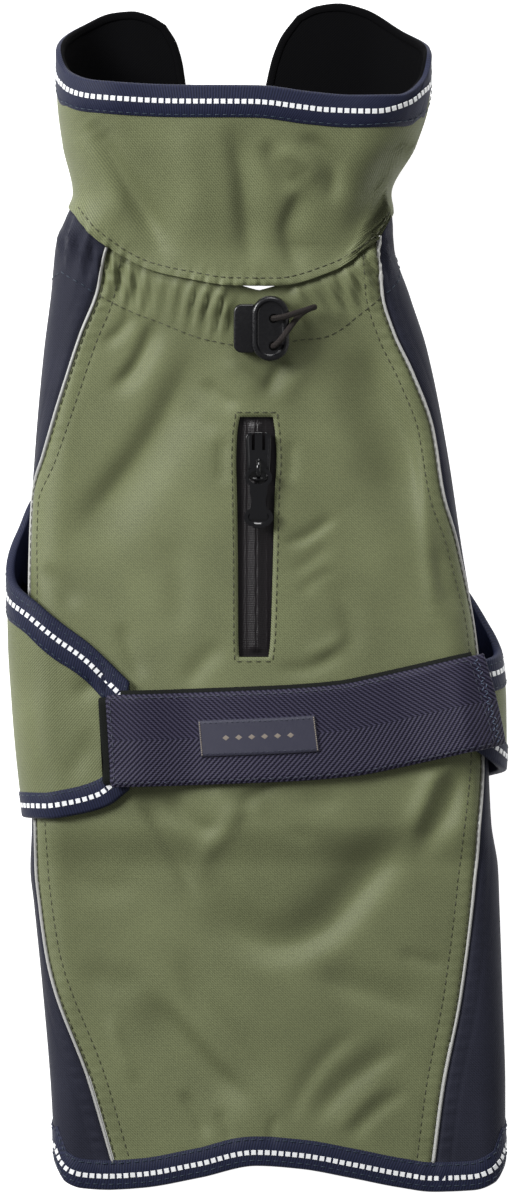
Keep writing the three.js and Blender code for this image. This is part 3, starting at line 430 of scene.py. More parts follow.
braid = finish_of("braided_elastic", (0.008, 0.007, 0.007), 0.7, specular=0.2)
braid_along, braid_round = uv_axes(braid)
strands_left = ribs_across(braid, braid_along, braid_round, BRAID_PITCH, BRAID_SLOPE)
strands_right = ribs_across(braid, braid_along, braid_round, BRAID_PITCH, -BRAID_SLOPE)
strands = maths(braid, "MAXIMUM", strands_left, strands_right)
braid_colour = blend_colours(braid, strands, (0.004, 0.004, 0.004), (0.030, 0.024, 0.022))
paint(braid, braid_colour, strands, 0.25 * MM)

front_hole = Vector((HOLE_X, FRONT_HOLE_Y, LOCK_THICK))
loop_curve = smooth_route(loop_points, 6)
loop_route = [tuple(lock_place @ ((Vector(point) + front_hole) * MM)) for point in loop_curve]
drawcord = tube("drawcord_elastic", np.array(loop_route), CORD / 2 * MM, CORD_SIDES, braid)
sew_in(drawcord, "drawcord")
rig.cord(
    drawcord,
    exit=loop_route[0],
    length=0.054,
    diameter=CORD * MM,
    far_end="object",
    stiffness="limp",
    lay="loose",
    path=loop_route,
)

# ---- Cord lock -------------------------------------------------------------------------------------
# A two-hole cord lock moulded in black acetal: an oval barrel with a raised rim and sunk face, and a
# plunger that a spring pushes out to the left. Only the elastic holds it to the coat.

LOCK_WIDTH, LOCK_LENGTH, LOCK_SIDES = 15, 26, 48
RIM_ROUND, FOOT_ROUND = 1.5, 1.2
HOLE_RADIUS, MOUTH_RADIUS, HOLE_SIDES = 1.7, 2.9, 28
PLUNGER_WIDTH, PLUNGER_THICK, PLUNGER_SHOWS, PLUNGER_HIDDEN = 19.4, 6, 7.2, 1.2
PLUNGER_CORNER, PLUNGER_EDGE = 3.2, 0.7
POCKET_DEPTH, POCKET_PLAY = 4.7, 0.5


def hard_finish(name, colour, coat, specular, scale, smoothest, roughest, depth):
    """A smooth hard surface, unevenly worn between two roughnesses."""
    finish = finish_of(name, colour, (smoothest + roughest) / 2, specular=specular, coat=coat)
    place = node(finish, "TexCoord").outputs["Object"]
    grain = node(finish, "TexNoise", place, None, scale, 3.0).outputs[0]
    wear = node(finish, "MapRange", grain, 0.3, 0.7, smoothest, roughest).outputs[0]
    paint(finish, height=grain, depth=depth * MM, roughness=wear)
    return finish


acetal = hard_finish("black_acetal", (0.005, 0.005, 0.006), 0.15, 0.35, 900.0, 0.22, 0.36, 0.02)


def clear_selection():
    """Leaves edit mode with nothing selected, so that the next primitive stands by itself."""
    if bpy.context.mode != "OBJECT":
        bpy.ops.object.mode_set(mode="OBJECT")
    bpy.ops.object.select_all(action="DESELECT")


def start_piece(name):
    """The new primitive with its sizes applied, in edit mode with nothing selected."""
    bpy.ops.object.transform_apply(location=True, rotation=True, scale=True)
    piece = bpy.context.object
    piece.name = name
    piece.data.name = name
    bpy.ops.object.mode_set(mode="EDIT")
    bpy.ops.mesh.select_all(action="DESELECT")
    return piece


def block(name, size, middle):
    """A box of that size round that middle, both in millimetres, in edit mode."""
    clear_selection()
    bpy.ops.mesh.primitive_cube_add(size=1, location=[place * MM for place in middle])
    bpy.context.object.scale = [side * MM for side in size]
    return start_piece(name)


def pick(piece, wanted, kind="VERT"):
    """Selects the vertices or faces whose place wanted() accepts, in metres, or the faces whose
    direction it accepts."""
    bpy.ops.object.mode_set(mode="OBJECT")
    mesh = piece.data
    for element in (*mesh.vertices, *mesh.edges, *mesh.polygons):
        element.select = False
    if kind == "VERT":
        for vertex in mesh.vertices:
            vertex.select = wanted(vertex.co)
    else:
        for face in mesh.polygons:
            face.select = wanted(face.center if kind == "FACE" else face.normal)
    bpy.ops.object.mode_set(mode="EDIT")
    bpy.ops.mesh.select_mode(type="VERT" if kind == "VERT" else "FACE")


def round_corners(piece, radius, segments, wanted=lambda co: True):
    """Rounds the upright edges of a box whose two ends wanted() accepts."""
    bpy.ops.mesh.select_mode(type="EDGE")
    bpy.ops.mesh.select_all(action="DESELECT")
    bpy.ops.object.mode_set(mode="OBJECT")
    for edge in piece.data.edges:
        a, b = (piece.data.vertices[v].co for v in edge.vertices)
        edge.select = wanted(a) and wanted(b) and abs(a.z - b.z) > 1 * MM
    bpy.ops.object.mode_set(mode="EDIT")
    bpy.ops.mesh.bevel(offset=radius * MM, segments=segments, affect="EDGES")


def use_modifier(piece, kind, **settings):
    """Adds a modifier and applies it."""
    bpy.ops.object.mode_set(mode="OBJECT")
    modifier = piece.modifiers.new(kind, kind)
    for key, setting in settings.items():
        setattr(modifier, key, setting)
    bpy.context.view_layer.objects.active = piece
    bpy.ops.object.modifier_apply(modifier=modifier.name)


def join(piece, other, operation):
    """Takes the other closed piece out of this one, or joins it on as one skin."""
    use_modifier(piece, "BOOLEAN", object=other, operation=operation, solver="EXACT")
    bpy.data.objects.remove(other)


def settle(piece, place, material):
    """Moves a finished piece to its place, with its object left at the origin."""
    clear_selection()
    piece.select_set(True)
    bpy.context.view_layer.objects.active = piece
    bpy.ops.object.shade_smooth_by_angle(angle=math.radians(40))
    piece.matrix_world = place @ piece.matrix_world
    bpy.ops.object.transform_apply(location=True, rotation=True, scale=True)
    piece.data.materials.clear()
    piece.data.materials.append(material)
    return piece


clear_selection()
bpy.ops.mesh.primitive_cylinder_add(
    vertices=LOCK_SIDES,
    radius=LOCK_WIDTH / 2 * MM,
    depth=LOCK_THICK * MM,
    location=(0, 0, LOCK_THICK / 2 * MM),
    rotation=(0, 0, math.pi / LOCK_SIDES),
)
lock_barrel = start_piece("toggle_barrel_shell")
for side in (1, -1):
    pick(lock_barrel, lambda co: co.y * side > 0)
    bpy.ops.transform.translate(value=(0, side * (LOCK_LENGTH - LOCK_WIDTH) / 2 * MM, 0))
pick(lock_barrel, lambda co: co.z > (LOCK_THICK - 0.1) * MM, "FACE")
bpy.ops.mesh.bevel(offset=RIM_ROUND * MM, segments=5, affect="EDGES", profile=0.55)
pick(lock_barrel, lambda co: co.z < 0.1 * MM, "FACE")
bpy.ops.mesh.bevel(offset=FOOT_ROUND * MM, segments=4, affect="EDGES")
pick(lock_barrel, lambda co: co.z > (LOCK_THICK - 0.01) * MM, "FACE")
for inset, rise in ((0.35, 0), (0.55, -0.75), (0.5, -0.15)):
    bpy.ops.mesh.inset(thickness=inset * MM, depth=rise * MM)
for hole_y in (FRONT_HOLE_Y, FRONT_HOLE_Y - HOLES_APART):
    for foot_radius, top_radius, foot, top in (
        (HOLE_RADIUS, HOLE_RADIUS, 4, 10),
        (HOLE_RADIUS * 0.6, MOUTH_RADIUS, 8.2, 10.2),
    ):
        clear_selection()
        bpy.ops.mesh.primitive_cone_add(
            vertices=HOLE_SIDES,
            radius1=foot_radius * MM,
            radius2=top_radius * 1.15 * MM,
            depth=(top - foot) * MM,
            location=(HOLE_X * MM, hole_y * MM, (top + foot) / 2 * MM),
        )
        join(lock_barrel, bpy.context.object, "DIFFERENCE")
# The pocket that the plunger slides in, open to the left.
pocket_size = (2 * POCKET_DEPTH, PLUNGER_WIDTH + POCKET_PLAY, PLUNGER_THICK + POCKET_PLAY)
join(lock_barrel, block("pocket", pocket_size, (-LOCK_WIDTH / 2, 0, LOCK_THICK / 2)), "DIFFERENCE")
settle(lock_barrel, lock_place, acetal)
sew_in(lock_barrel, "toggle_barrel")

plunger_size = (PLUNGER_SHOWS + PLUNGER_HIDDEN, PLUNGER_WIDTH, PLUNGER_THICK)
plunger_x = (-LOCK_WIDTH - PLUNGER_SHOWS + PLUNGER_HIDDEN) / 2
plunger = block("toggle_plunger_shell", plunger_size, (plunger_x, 0, LOCK_THICK / 2))
round_corners(plunger, PLUNGER_CORNER, 6, lambda co: co.x < plunger_x * MM)
use_modifier(plunger, "BEVEL", width=PLUNGER_EDGE * MM, segments=3, limit_method="ANGLE")
settle(plunger, lock_place, acetal)
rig.ride(plunger, "plunger")
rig.replaces(plunger, "toggle_plunger")
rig.slot(plunger, "toggle_plunger")


# ---- Back panel ------------------------------------------------------------------------------------
# The olive back, one piece of coated twill from the collar to the hem, with a window cut for the zip.
# Its drawcord casing is gathered behind the neck seam, and it lies in soft folds.

SHELL = 1.6
LIFT = 3.6  # the body lies this high where the belly panel passes under it
HEM_BINDING = 12
SEAM_GAP = 0.3
PIPING = 1.2
WINDOW_REAR, WINDOW_FRONT, WINDOW_WIDTH = 214.8, 310.8, 16.4

# The tube of the body and collar, a row for each section across it: y, left side, right side,
# radius of the rounded sides, rise of the back between them, height of the flat underside.
coat_sections = [
    (0, -80.8, 100.2, 10, 3, 0),
    (40, -82.7, 100.2, 11, 4, 0),
    (80, -86, 99, 12, 5, 0),
    (115, -89.5, 97.8, 13, 5, 0),
    (130, -91, 97.2, 13.5, 5, 0),
    (148, -90.3, 94.4, 14, 5, LIFT),
    (180, -91.4, 92.8, 14, 5, LIFT),
    (218, -92.4, 89, 14, 5, LIFT),
    (258, -91.4, 82.6, 14, 5, LIFT),
    (298, -89, 76.6, 14.5, 5, LIFT),
    (338, -85.4, 68.6, 15, 5, LIFT),
    (360, -82.6, 61.5, 16, 5, LIFT),
    (380, -80.6, 55.2, 19.5, 5, 0),
    (400, -73.6, 54.2, 23, 4, 0),
    (420, -77.8, 64.2, 25.5, 3, 0),
    (440, -80, 69.6, 27, 2.5, 0),
    (480, -80.2, 70.2, 27.5, 2.5, 0),
]
# Outlines as runs of places, x and y, on the upper side ("over") or the underside ("under").
neck_seam_outline = [
    ("under", [(-18, 404), (-58, 403)]),
    ("over", [
        (-71.5, 393), (-61.4, 382), (-41.4, 370.6), (-26.2, 367), (-9.4, 364.4), (7.4, 364.2),
        (30.2, 370.4), (45.8, 380.4), (53, 392)
    ]),
    ("under", [(42, 403), (24, 404)]),
]
hem_outline = [
    ("under", [(-75, 21)]),
    ("over", [
        (-80.4, 9.4), (-76.6, 3.4), (-70, 1.2), (-60, 0.6), (-46, 1.4), (-22.6, 5.6), (0, 10.4),
        (17.4, 9.2), (37.4, 5.6), (57.4, 1.6), (71, -0.2), (87, 0.4), (96, 3.4), (99.6, 9.4)
    ]),
    ("under", [(94, 21)]),
]
left_piping_outline = [
    ("over", [
        (-57.8, 12), (-67.4, 45), (-85, 98), (-88.4, 125), (-89.9, 170), (-91.4, 242), (-90.2, 277.6),
        (-85.8, 295.6), (-78.6, 319.6), (-70.6, 343.6), (-64, 360), (-59.4, 380.4)
    ]),
]
right_piping_outline = [
    ("over", [
        (71, 11), (75, 42), (81.8, 77.6), (89, 139.6), (91, 172), (88.2, 221), (81, 259), (75.2, 280),
        (71, 305.6), (62.6, 328.8), (55, 344.8), (50.4, 360), (48.6, 383)
    ]),
]
# Folds: how deep each one is (or how high a ridge stands), how far it spreads to the left and to the
# right of its line, and the x and y of points along the line.
folds = [
    # The collar.
    (-3.4, 6.5, 4.2, [(-72, 436), (-56, 409), (-45, 391), (-33, 371)]),
    (-0.8, 5, 4, [(-79, 424), (-70, 406), (-61, 390), (-49, 379)]),
    (-2.4, 6.5, 4.6, [(-11, 431), (-6, 410), (-4, 390), (-1, 369)]),
    (-1.3, 3.6, 3.6, [(3, 422), (7, 411), (13, 404.5), (19, 407)]),
    (-1.5, 3.6, 3.6, [(14, 421), (23, 419), (29.5, 412), (31, 403), (28, 394)]),
    (0.8, 3.4, 3.4, [(6, 417), (16, 414), (22, 409), (21, 401)]),
    (-1.5, 5.4, 3.6, [(21, 404), (15.5, 394), (12.5, 385), (14.5, 376), (18, 367)]),
    (-2.6, 4.6, 8, [(64, 424), (51, 398), (41, 384), (31, 370)]),
    (0.8, 7, 7, [(-30, 432), (-26, 410), (-22, 380)]),
    # Behind the drawcord's casing, on the left.
    (-1.9, 4.4, 3, [(-40, 352), (-45, 338), (-51, 328), (-60, 320)]),
    (-0.9, 3, 2.4, [(-49, 354), (-55, 345), (-63, 339)]),
    (-3.2, 15, 6.5, [(-22, 344), (-28, 328), (-38, 308), (-50, 290), (-64, 272), (-74, 259)]),
    (0.5, 9, 9, [(-20, 330), (-30, 300), (-44, 272), (-54, 244)]),
    # Below the cord lock, and down the right.
    (-1.0, 2.6, 2.8, [(3, 318), (8, 329), (14, 341)]),
    (-1.0, 2.8, 2.6, [(-22, 326), (-15, 319), (-7, 314)]),
    (-0.6, 4, 4, [(-30, 317), (-23, 309), (-14, 306)]),
    (0.7, 4, 4, [(-14, 335), (-5, 327), (0, 317)]),
    (0.7, 4, 4, [(21, 333), (15, 325), (8, 315)]),
    (-4.2, 7, 14, [(38, 344), (49, 320), (57, 302), (62, 284), (64, 266)]),
    (0.9, 3, 3, [(66, 304), (67, 280), (69, 252), (72, 222)]),
    (0.9, 10, 10, [(28, 330), (36, 296), (50, 266), (56, 232)]),
    # Beside the zip and above the belt.
    (-0.8, 2.4, 2.4, [(-13.6, 304), (-14, 293), (-13.2, 282)]),
    (-0.8, 2.4, 2.4, [(13.6, 303), (13.8, 293), (13, 283)]),
    (-1.0, 3.2, 1.8, [(9, 259.6), (19, 262), (33, 272)]),
    (-0.5, 2.6, 2.6, [(12, 248), (20, 252), (30, 261)]),
    (-0.45, 2.4, 2.4, [(16, 238), (24, 246), (34, 250)]),
    (-0.9, 5, 4, [(25, 248), (33, 241), (37, 230), (37, 212)]),
    (-0.8, 3, 3, [(6, 211), (18, 209.6), (28, 213), (36, 220)]),
    (0.6, 3, 3, [(18, 216), (28, 218.6), (38, 226)]),
    (-0.6, 5, 5, [(-35, 266), (-31, 246), (-32, 222)]),
    (-1.1, 4, 4, [(-88, 252), (-78, 243), (-71, 233)]),
    (-1.0, 3, 3, [(-55, 230), (-51, 218), (-45, 204)]),
    (-0.9, 4, 4, [(-30, 202), (-22, 212), (-13, 222)]),
    (-1.0, 5, 4, [(72, 262), (75, 246), (82, 232)]),
    # Below the belt.
    (-1.6, 5, 2.6, [(-49, 166), (-37.5, 143), (-29.5, 128), (-22, 112)]),
    (-1.5, 4, 4, [(-38, 164), (-29, 151), (-21, 146), (-11, 148)]),
    (0.8, 3.4, 3.4, [(-18, 164), (-11, 153), (-6, 147)]),
    (-0.9, 3.6, 3.6, [(-10, 154), (-1, 160), (8, 168)]),
    (-0.7, 4, 4, [(2, 166), (7, 152), (15, 144), (27, 143)]),
    (-0.7, 4.4, 4.4, [(18, 162), (25, 157), (34, 158)]),
    (0.8, 4, 4, [(-3, 166), (-12, 147), (-21, 134), (-21, 120)]),
    (-3.4, 12, 6.5, [
        (-23, 130), (-14, 110), (0, 101), (13, 100), (27, 106), (41, 121), (54, 138), (62, 154),
    ]),
    (1.5, 3.4, 4.4, [(75, 176), (69, 161), (61, 143)]),
    (-2.0, 5, 5.4, [(84, 176), (76, 153), (68, 140), (62, 132)]),
    (-0.7, 6, 6, [(-80, 130), (-63, 123), (-46, 122)]),
    (-0.7, 6, 6, [(-72, 90), (-57, 84), (-42, 85)]),
    (-1.5, 8.5, 4.4, [(21, 90), (36, 83), (50, 78.5), (62, 74), (72, 68)]),
    (-0.6, 3, 3, [(56, 97), (66, 93), (78, 91)]),
    (-2.9, 5.6, 9, [(-49, 83), (-30, 61), (-18, 48), (-8, 39), (1, 31)]),
    (-1.5, 6, 4.4, [(-33, 102), (-24, 79), (-14, 66), (-4, 53), (4, 42), (9, 31)]),
    (-0.8, 4.4, 3, [(11, 24), (20, 43), (30, 56), (44, 67)]),
    (-1.3, 6, 3.6, [(20, 24), (34, 41), (48, 52), (62, 60)]),
    (-0.7, 3.4, 2.6, [(36, 20), (49, 33), (62, 42)]),
    (0.5, 2.8, 2.8, [(30, 22), (43, 37), (54, 46)]),
    (0.7, 3, 3, [(-59, 74), (-55, 58), (-48, 43)]),
    (-1.0, 2.6, 2.6, [(-31, 42), (-24, 31), (-19, 20)]),
    (-0.7, 2.2, 2.2, [(-16, 34), (-12, 26), (-9, 18)]),
    (-0.6, 2, 2, [(8, 32), (6, 24), (6, 16)]),
]
FOLD_DEPTH = 1.45  # the folds are this many times as deep as their table says
FOLD_REACH = 2.6  # a fold is too low to count this many times its spread away
FOLD_FADE = 0.3  # the share of its line over which a fold fades out at each end
GATHER_PITCH, GATHER_RISE, GATHERS_BACK, GATHERS_SPREAD = 6.4, 1.4, 11, 9
GATHER_MIDDLE, CASING_Y, GATHER_LEAN = 3, 352, 0.35  # the gathers lean towards the cord lock
NECK_RIDGE, NECK_RIDGE_REACH = 2.4, 15  # the neck seam stands up a little
PIPING_ROWS = (1.4, 6.8)  # the rows of topstitching inside each piping
# Each row draws the cloth down a little, and the cloth puckers between the two.
ROW_DIP, PUCKER_PITCH, PUCKER_RISE = 0.22, 5.2, 0.16
# Stretches where the back stays smooth: middle x, y, and reach each way. Under the belt and the
# wings it only stays low; beneath the zip's tape and the cord lock it is held flat.
low_stretches = [(10, 187, 150, 21), (-75, 205, 30, 42)]
flat_stretches = [(0, 263, 12.8, 53), (2, 348, 15, 17)]
SMOOTH_EDGE = 5


def smoothstep(t):
    """Rises gently from 0 to 1 as t does."""
    t = np.clip(t, 0, 1)
    return t * t * (3 - 2 * t)


def mix(a, b, t):
    """The value at share t of the way from a to b."""
    return a + (b - a) * t


def curve_through(at, value):
    """A smooth curve through points, which overshoots none of them."""
    at, value = np.asarray(at, float), np.asarray(value, float)
    steps = np.diff(at)
    slopes = np.diff(value) / steps
    product = slopes[:-1] * slopes[1:]
    total = slopes[:-1] + slopes[1:]
    same_way = product > 0
    inner = np.where(same_way, 2 * product / np.where(same_way, total, 1), 0)
    tangents = np.r_[slopes[0], inner, slopes[-1]]

    def curve(x):
        x = np.asarray(x, float)
        i = np.clip(np.searchsorted(at, x, side="right") - 1, 0, len(at) - 2)
        t = np.clip((x - at[i]) / steps[i], 0, 1)
        start = tangents[i] * steps[i] * t * (1 - t) ** 2
        end = tangents[i + 1] * steps[i] * t * t * (t - 1)
        inside = mix(value[i], value[i + 1], t * t * (3 - 2 * t)) + start + end
        beyond = tangents[0] * np.minimum(x - at[0], 0) + tangents[-1] * np.maximum(x - at[-1], 0)
        return inside + beyond

    return curve


def columns_of(rows):
    """A curve for each column of a table, against its first one."""
    first, *others = np.array(rows, float).T
    return [curve_through(first, column) for column in others]


def slope_of(curve, at):
    """How steep the curve is there."""
    return curve(at + 0.5) - curve(at - 0.5)


def beside(curve, at, gap):
    """The curve moved aside by gap, measured square to it."""
    return curve(at) + gap * np.hypot(1, slope_of(curve, at))


def off_curve(curve, way, y):
    """Distance across the cloth from a curve of round against y."""
    return np.abs(way - curve(y)) / np.hypot(1, slope_of(curve, y))


class Tube:
    """A flattened tube. A place on it is round, the way in millimetres round the section from the
    middle of the back, positive towards +X, and y."""

    def __init__(self, section, relief=None):
        self.section = section
        self.relief = relief

    def measures(self, y):
        """Middle, half of the flat width, side radius, rise, foot height and half way round at y."""
        left, right, side, dome, lift = self.section(y)
        flat = (right - left) / 2 - side
        return (left + right) / 2, flat, side, dome, lift, 2 * flat + math.pi * side

    def over(self, x, y):
        """The way round to x on the upper side."""
        centre, flat, side, *_ = self.measures(y)
        out = np.abs(x - centre)
        bent = flat + side * np.arcsin(np.clip((out - flat) / side, -1, 1))
        return np.sign(x - centre) * np.where(out <= flat, out, bent)

    def under(self, x, y):
        """The way round to x on the underside."""
        upper = self.over(x, y)
        return np.sign(upper) * (self.measures(y)[5] - np.abs(upper))

    def outline(self, runs, along="round"):
        """The curve of y against round through an outline's places, or of round against y."""
        ways = [float(getattr(self, side)(x, y)) for side, places in runs for x, y in places]
        heights = [y for _, places in runs for _, y in places]
        return curve_through(ways, heights) if along == "round" else curve_through(heights, ways)

    def base(self, way, y):
        """The point on the plain tube, before its relief."""
        centre, flat, side, dome, lift, _ = self.measures(y)
        out = np.abs(way)
        hand = np.where(way < 0, -1.0, 1.0)
        rise = dome * (1 + np.cos(math.pi * np.minimum(out / flat, 1))) / 2
        turn = np.clip((out - flat) / side, 0, math.pi)
        past = np.maximum(out - flat - math.pi * side, 0)
        x = centre + hand * (np.minimum(out, flat) + side * np.sin(turn) - past)
        z = lift + side + side * np.cos(turn) + np.where(out < flat, rise, 0)
        return np.stack(np.broadcast_arrays(x, y, z), axis=-1)

    def normal(self, way, y):
        """The direction straight out of the plain tube."""
        across = self.base(way + 0.5, y) - self.base(way - 0.5, y)
        along = self.base(way, y + 0.5) - self.base(way, y - 0.5)
        normal = np.cross(across, along)
        return normal / np.linalg.norm(normal, axis=-1, keepdims=True)

    def point(self, way, y, out):
        """The point out mm off the cloth's outer face. Nothing goes below the table."""
        way, y = np.broadcast_arrays(np.asarray(way, float), np.asarray(y, float))
        normal, base = self.normal(way, y), self.base(way, y)
        rise = 0
        if self.relief is not None:
            rise = self.relief(way, y, base[..., 0]) * np.maximum(normal[..., 2], 0)
        place = base + normal * (out + rise)[..., None]
        place[..., 2] = np.maximum(place[..., 2], 0)
        return place


def fold_rise(x, y, height, left, right, points):
    """Height of one fold at places x, y. It fades out towards both ends of its line, and each place
    follows the legs of the line that lie nearest to it."""
    route = smooth_route([(px, py, 0) for px, py in points], 6)[:, :2]
    wide = max(left, right)
    low_x, low_y = route.min(axis=0) - FOLD_REACH * wide
    high_x, high_y = route.max(axis=0) + FOLD_REACH * wide
    close = (x > low_x) & (x < high_x) & (y > low_y) & (y < high_y)
    legs = np.diff(route, axis=0)
    lengths = np.hypot(*legs.T)
    shares = (np.cumsum(lengths) - lengths / 2) / lengths.sum()
    fades = smoothstep(np.minimum(shares, 1 - shares) / FOLD_FADE)
    off = np.stack([x[close], y[close]])[:, None, :] - ((route[:-1] + route[1:]) / 2).T[:, :, None]
    away = (off**2).sum(axis=0)
    nearness = np.exp(-(away - away.min(axis=0)) / (0.5 * wide) ** 2)
    across = (legs[:, :1] * off[1] - legs[:, 1:] * off[0]) / lengths[:, None]
    profile = np.exp(-((across / np.where(across > 0, left, right)) ** 2))
    rise = np.zeros(close.shape)
    rise[close] = height * (nearness * fades[:, None] * profile).sum(axis=0) / nearness.sum(axis=0)
    return rise


def smoothness(x, y, stretches):
    """1 away from the stretches that stay smooth, 0 inside them."""
    kept = np.ones(np.broadcast(x, y).shape)
    for middle_x, middle_y, reach_x, reach_y in stretches:
        past = np.maximum(np.abs(x - middle_x) - reach_x, np.abs(y - middle_y) - reach_y)
        kept = np.minimum(kept, smoothstep(past / SMOOTH_EDGE + 1))
    return kept


coat_curves = columns_of(coat_sections)


def coat_section(y):
    """The body's and collar's section at y."""
    return [curve(y) for curve in coat_curves]


plain_coat = Tube(coat_section)
neck_seam = plain_coat.outline(neck_seam_outline)
left_piping = plain_coat.outline(left_piping_outline, "y")
right_piping = plain_coat.outline(right_piping_outline, "y")
pipings = (left_piping, right_piping)


def coat_relief(way, y, x):
    """Height of the folds, gathers and stitched-down rows over the plain cloth."""
    x, y = np.broadcast_arrays(x, y)
    rise = np.zeros(x.shape)
    for fold in folds:
        rise += FOLD_DEPTH * fold_rise(x, y, *fold)
    from_neck = neck_seam(way) - y
    behind = (from_neck - GATHERS_BACK) / GATHERS_SPREAD
    lean = np.sign(x - GATHER_MIDDLE) * GATHER_LEAN * (y - CASING_Y)
    wander = x + lean + 1.8 * np.sin(x / 13 + 1) + 0.9 * np.sin(y / 4.5 + x / 9)
    gather = np.sin(2 * math.pi * wander / GATHER_PITCH)
    gather += 0.6 * np.sin(2 * math.pi * (wander + 0.3 * y) / (0.47 * GATHER_PITCH) + 1)
    uneven = 0.75 + 0.35 * np.sin(x / 11 + 2) + 0.2 * np.sin(x / 4.7)
    rise += GATHER_RISE * uneven * gather * np.exp(-(behind**2))
    puckers = np.sin(2 * math.pi * y / PUCKER_PITCH) + 0.6 * np.sin(2 * math.pi * y / 3.7 + 2)
    rise += NECK_RIDGE * np.exp(-((from_neck / NECK_RIDGE_REACH) ** 2))
    on_back = smoothstep(from_neck)
    for curve in pipings:
        off = off_curve(curve, way, y)
        rise += PUCKER_RISE * on_back * puckers * np.exp(-(((off - 4) / 2.2) ** 2))
        for row in PIPING_ROWS:
            rise -= ROW_DIP * on_back * np.exp(-(((off - row) / 0.9) ** 2))
    flat = smoothness(x, y, flat_stretches)
    low = smoothness(x, y, low_stretches)
    return flat * np.where(rise > 0, rise * low, rise)


coat = Tube(coat_section, coat_relief)
hem = coat.outline(hem_outline)
SLOT_X, SLOT_Y, SLOT_REACH, SLOT_DIP = 0.6, 364, 9, 2.6
slot_way = float(coat.over(SLOT_X, SLOT_Y))


def back_front(way):
    """The back's front edge dips at the lead opening, where it isn't sewn to the collar."""
    return neck_seam(way) - SLOT_DIP * np.maximum(1 - np.abs(way - slot_way) / SLOT_REACH, 0)


TO_AND_FRO, NEARER = 24, 0.7  # how often a place is bettered, and how far it moves each time


def place_in(edges, inset, u, v):
    """The place at shares u, left to right, and v, rear to front, inside four edge curves held back
    by inset. Each edge depends on the other coordinate, so the place is found by going to and fro."""
    u, v = np.broadcast_arrays(np.asarray(u, float), np.asarray(v, float))
    v = v ** edges.get("crowding", 1.0)
    y = np.full(u.shape, float(edges["start_y"]))
    way = np.zeros(u.shape)
    for _ in range(TO_AND_FRO):
        left = beside(edges["left"], y, inset.get("left", 0))
        right = beside(edges["right"], y, -inset.get("right", 0))
        way = mix(left, right, u)
        rear = beside(edges["rear"], way, inset.get("rear", 0))
        front = beside(edges["front"], way, -inset.get("front", 0))
        y = mix(y, mix(rear, front, v), NEARER)
    return way, y


def volume_of(points, faces):
    """Six times the volume inside four-sided faces: negative if they are inside out."""
    a, b, c, d = (points[faces[:, k]] for k in range(4))
    return np.einsum("ij,ij->", a, np.cross(b, c) + np.cross(c, d))


def shell(name, surface, way, y, high, low, materials, keep=None):
    """A closed cloth wall over a grid of places, from low to high mm off the surface. Its UVs are
    metres of cloth. The first material is the outside, the second the inside and the edges."""
    rows, columns = way.shape
    outer = surface.point(way, y, np.broadcast_to(high, way.shape))
    inner = surface.point(way, y, np.broadcast_to(low, way.shape))
    index = np.arange(rows * columns).reshape(rows, columns)
    cells = np.stack([index[:-1, :-1], index[:-1, 1:], index[1:, 1:], index[1:, :-1]], -1)
    cells = cells.reshape(-1, 4)
    if keep is not None:
        cells = cells[keep]
    layer = rows * columns
    edges = np.concatenate([cells[:, [k, (k + 1) % 4]] for k in range(4)])
    keys = np.sort(edges, axis=1) @ np.array([layer, 1])
    _, first, counts = np.unique(keys, return_index=True, return_counts=True)
    rim = edges[first[counts == 1]]
    walls = np.stack([rim[:, 0], rim[:, 0] + layer, rim[:, 1] + layer, rim[:, 1]], -1)
    faces = np.concatenate([cells, cells[:, ::-1] + layer, walls])
    points = np.concatenate([outer.reshape(-1, 3), inner.reshape(-1, 3)])
    if volume_of(points, faces) < 0:
        faces = faces[:, ::-1]
    used, tidy = np.unique(faces, return_inverse=True)
    faces = tidy.reshape(faces.shape)
    uvs = np.stack([way.ravel(), y.ravel()], -1) * MM
    uvs = np.concatenate([uvs, uvs])[used]
    inside = np.r_[np.zeros(len(cells)), np.ones(len(cells) + len(walls))].astype(int)
    face_material = inside % len(materials)
    return mesh_piece(name, in_frame(points[used]), faces.tolist(), uvs, materials, face_material)


THREAD_PITCH, RIB_PITCH = 0.9, 1.15


def twill(name, colour, roughness, specular, contrast=0.42):
    """Fine coated cloth: small threads both ways under a slanting rib, and slightly uneven dye."""
    cloth = finish_of(name, colour, roughness, specular=specular)
    along, across = uv_axes(cloth)
    weft = ribs_across(cloth, along, across, THREAD_PITCH)
    warp = ribs_across(cloth, across, along, THREAD_PITCH)
    slant = ribs_across(cloth, along, across, RIB_PITCH, 1.0)
    grid = maths(cloth, "ADD", weft, warp)
    threads = maths(cloth, "MULTIPLY_ADD", grid, 0.18, maths(cloth, "MULTIPLY", slant, 0.64))
    place = node(cloth, "CombineXYZ", along, across).outputs[0]
    fibres = node(cloth, "TexNoise", place, None, 1100.0, 2.0).outputs[0]
    dye = node(cloth, "TexNoise", place, None, 34.0, 3.0).outputs[0]
    tone = maths(cloth, "MULTIPLY_ADD", dye, 0.3, maths(cloth, "MULTIPLY", fibres, 0.3))
    tone = maths(cloth, "MULTIPLY_ADD", threads, 0.4, tone)
    share = node(cloth, "MapRange", tone, 0.25, 0.75, 0.0, 1.0).outputs[0]
    dark = tuple(c * (1 - contrast) for c in colour)
    light = tuple(c * (1 + contrast) for c in colour)
    paint(cloth, blend_colours(cloth, share, dark, light), threads, 0.09 * MM)
    return cloth


olive_twill = twill("olive_twill", (0.121, 0.134, 0.066), 0.55, 0.25)
# The black lining cloth. On the collar tape's lining side it also stands in as painted shade.
black_lining = twill("black_lining", (0.0016, 0.0016, 0.0020), 0.9, 0.06, 0.3)

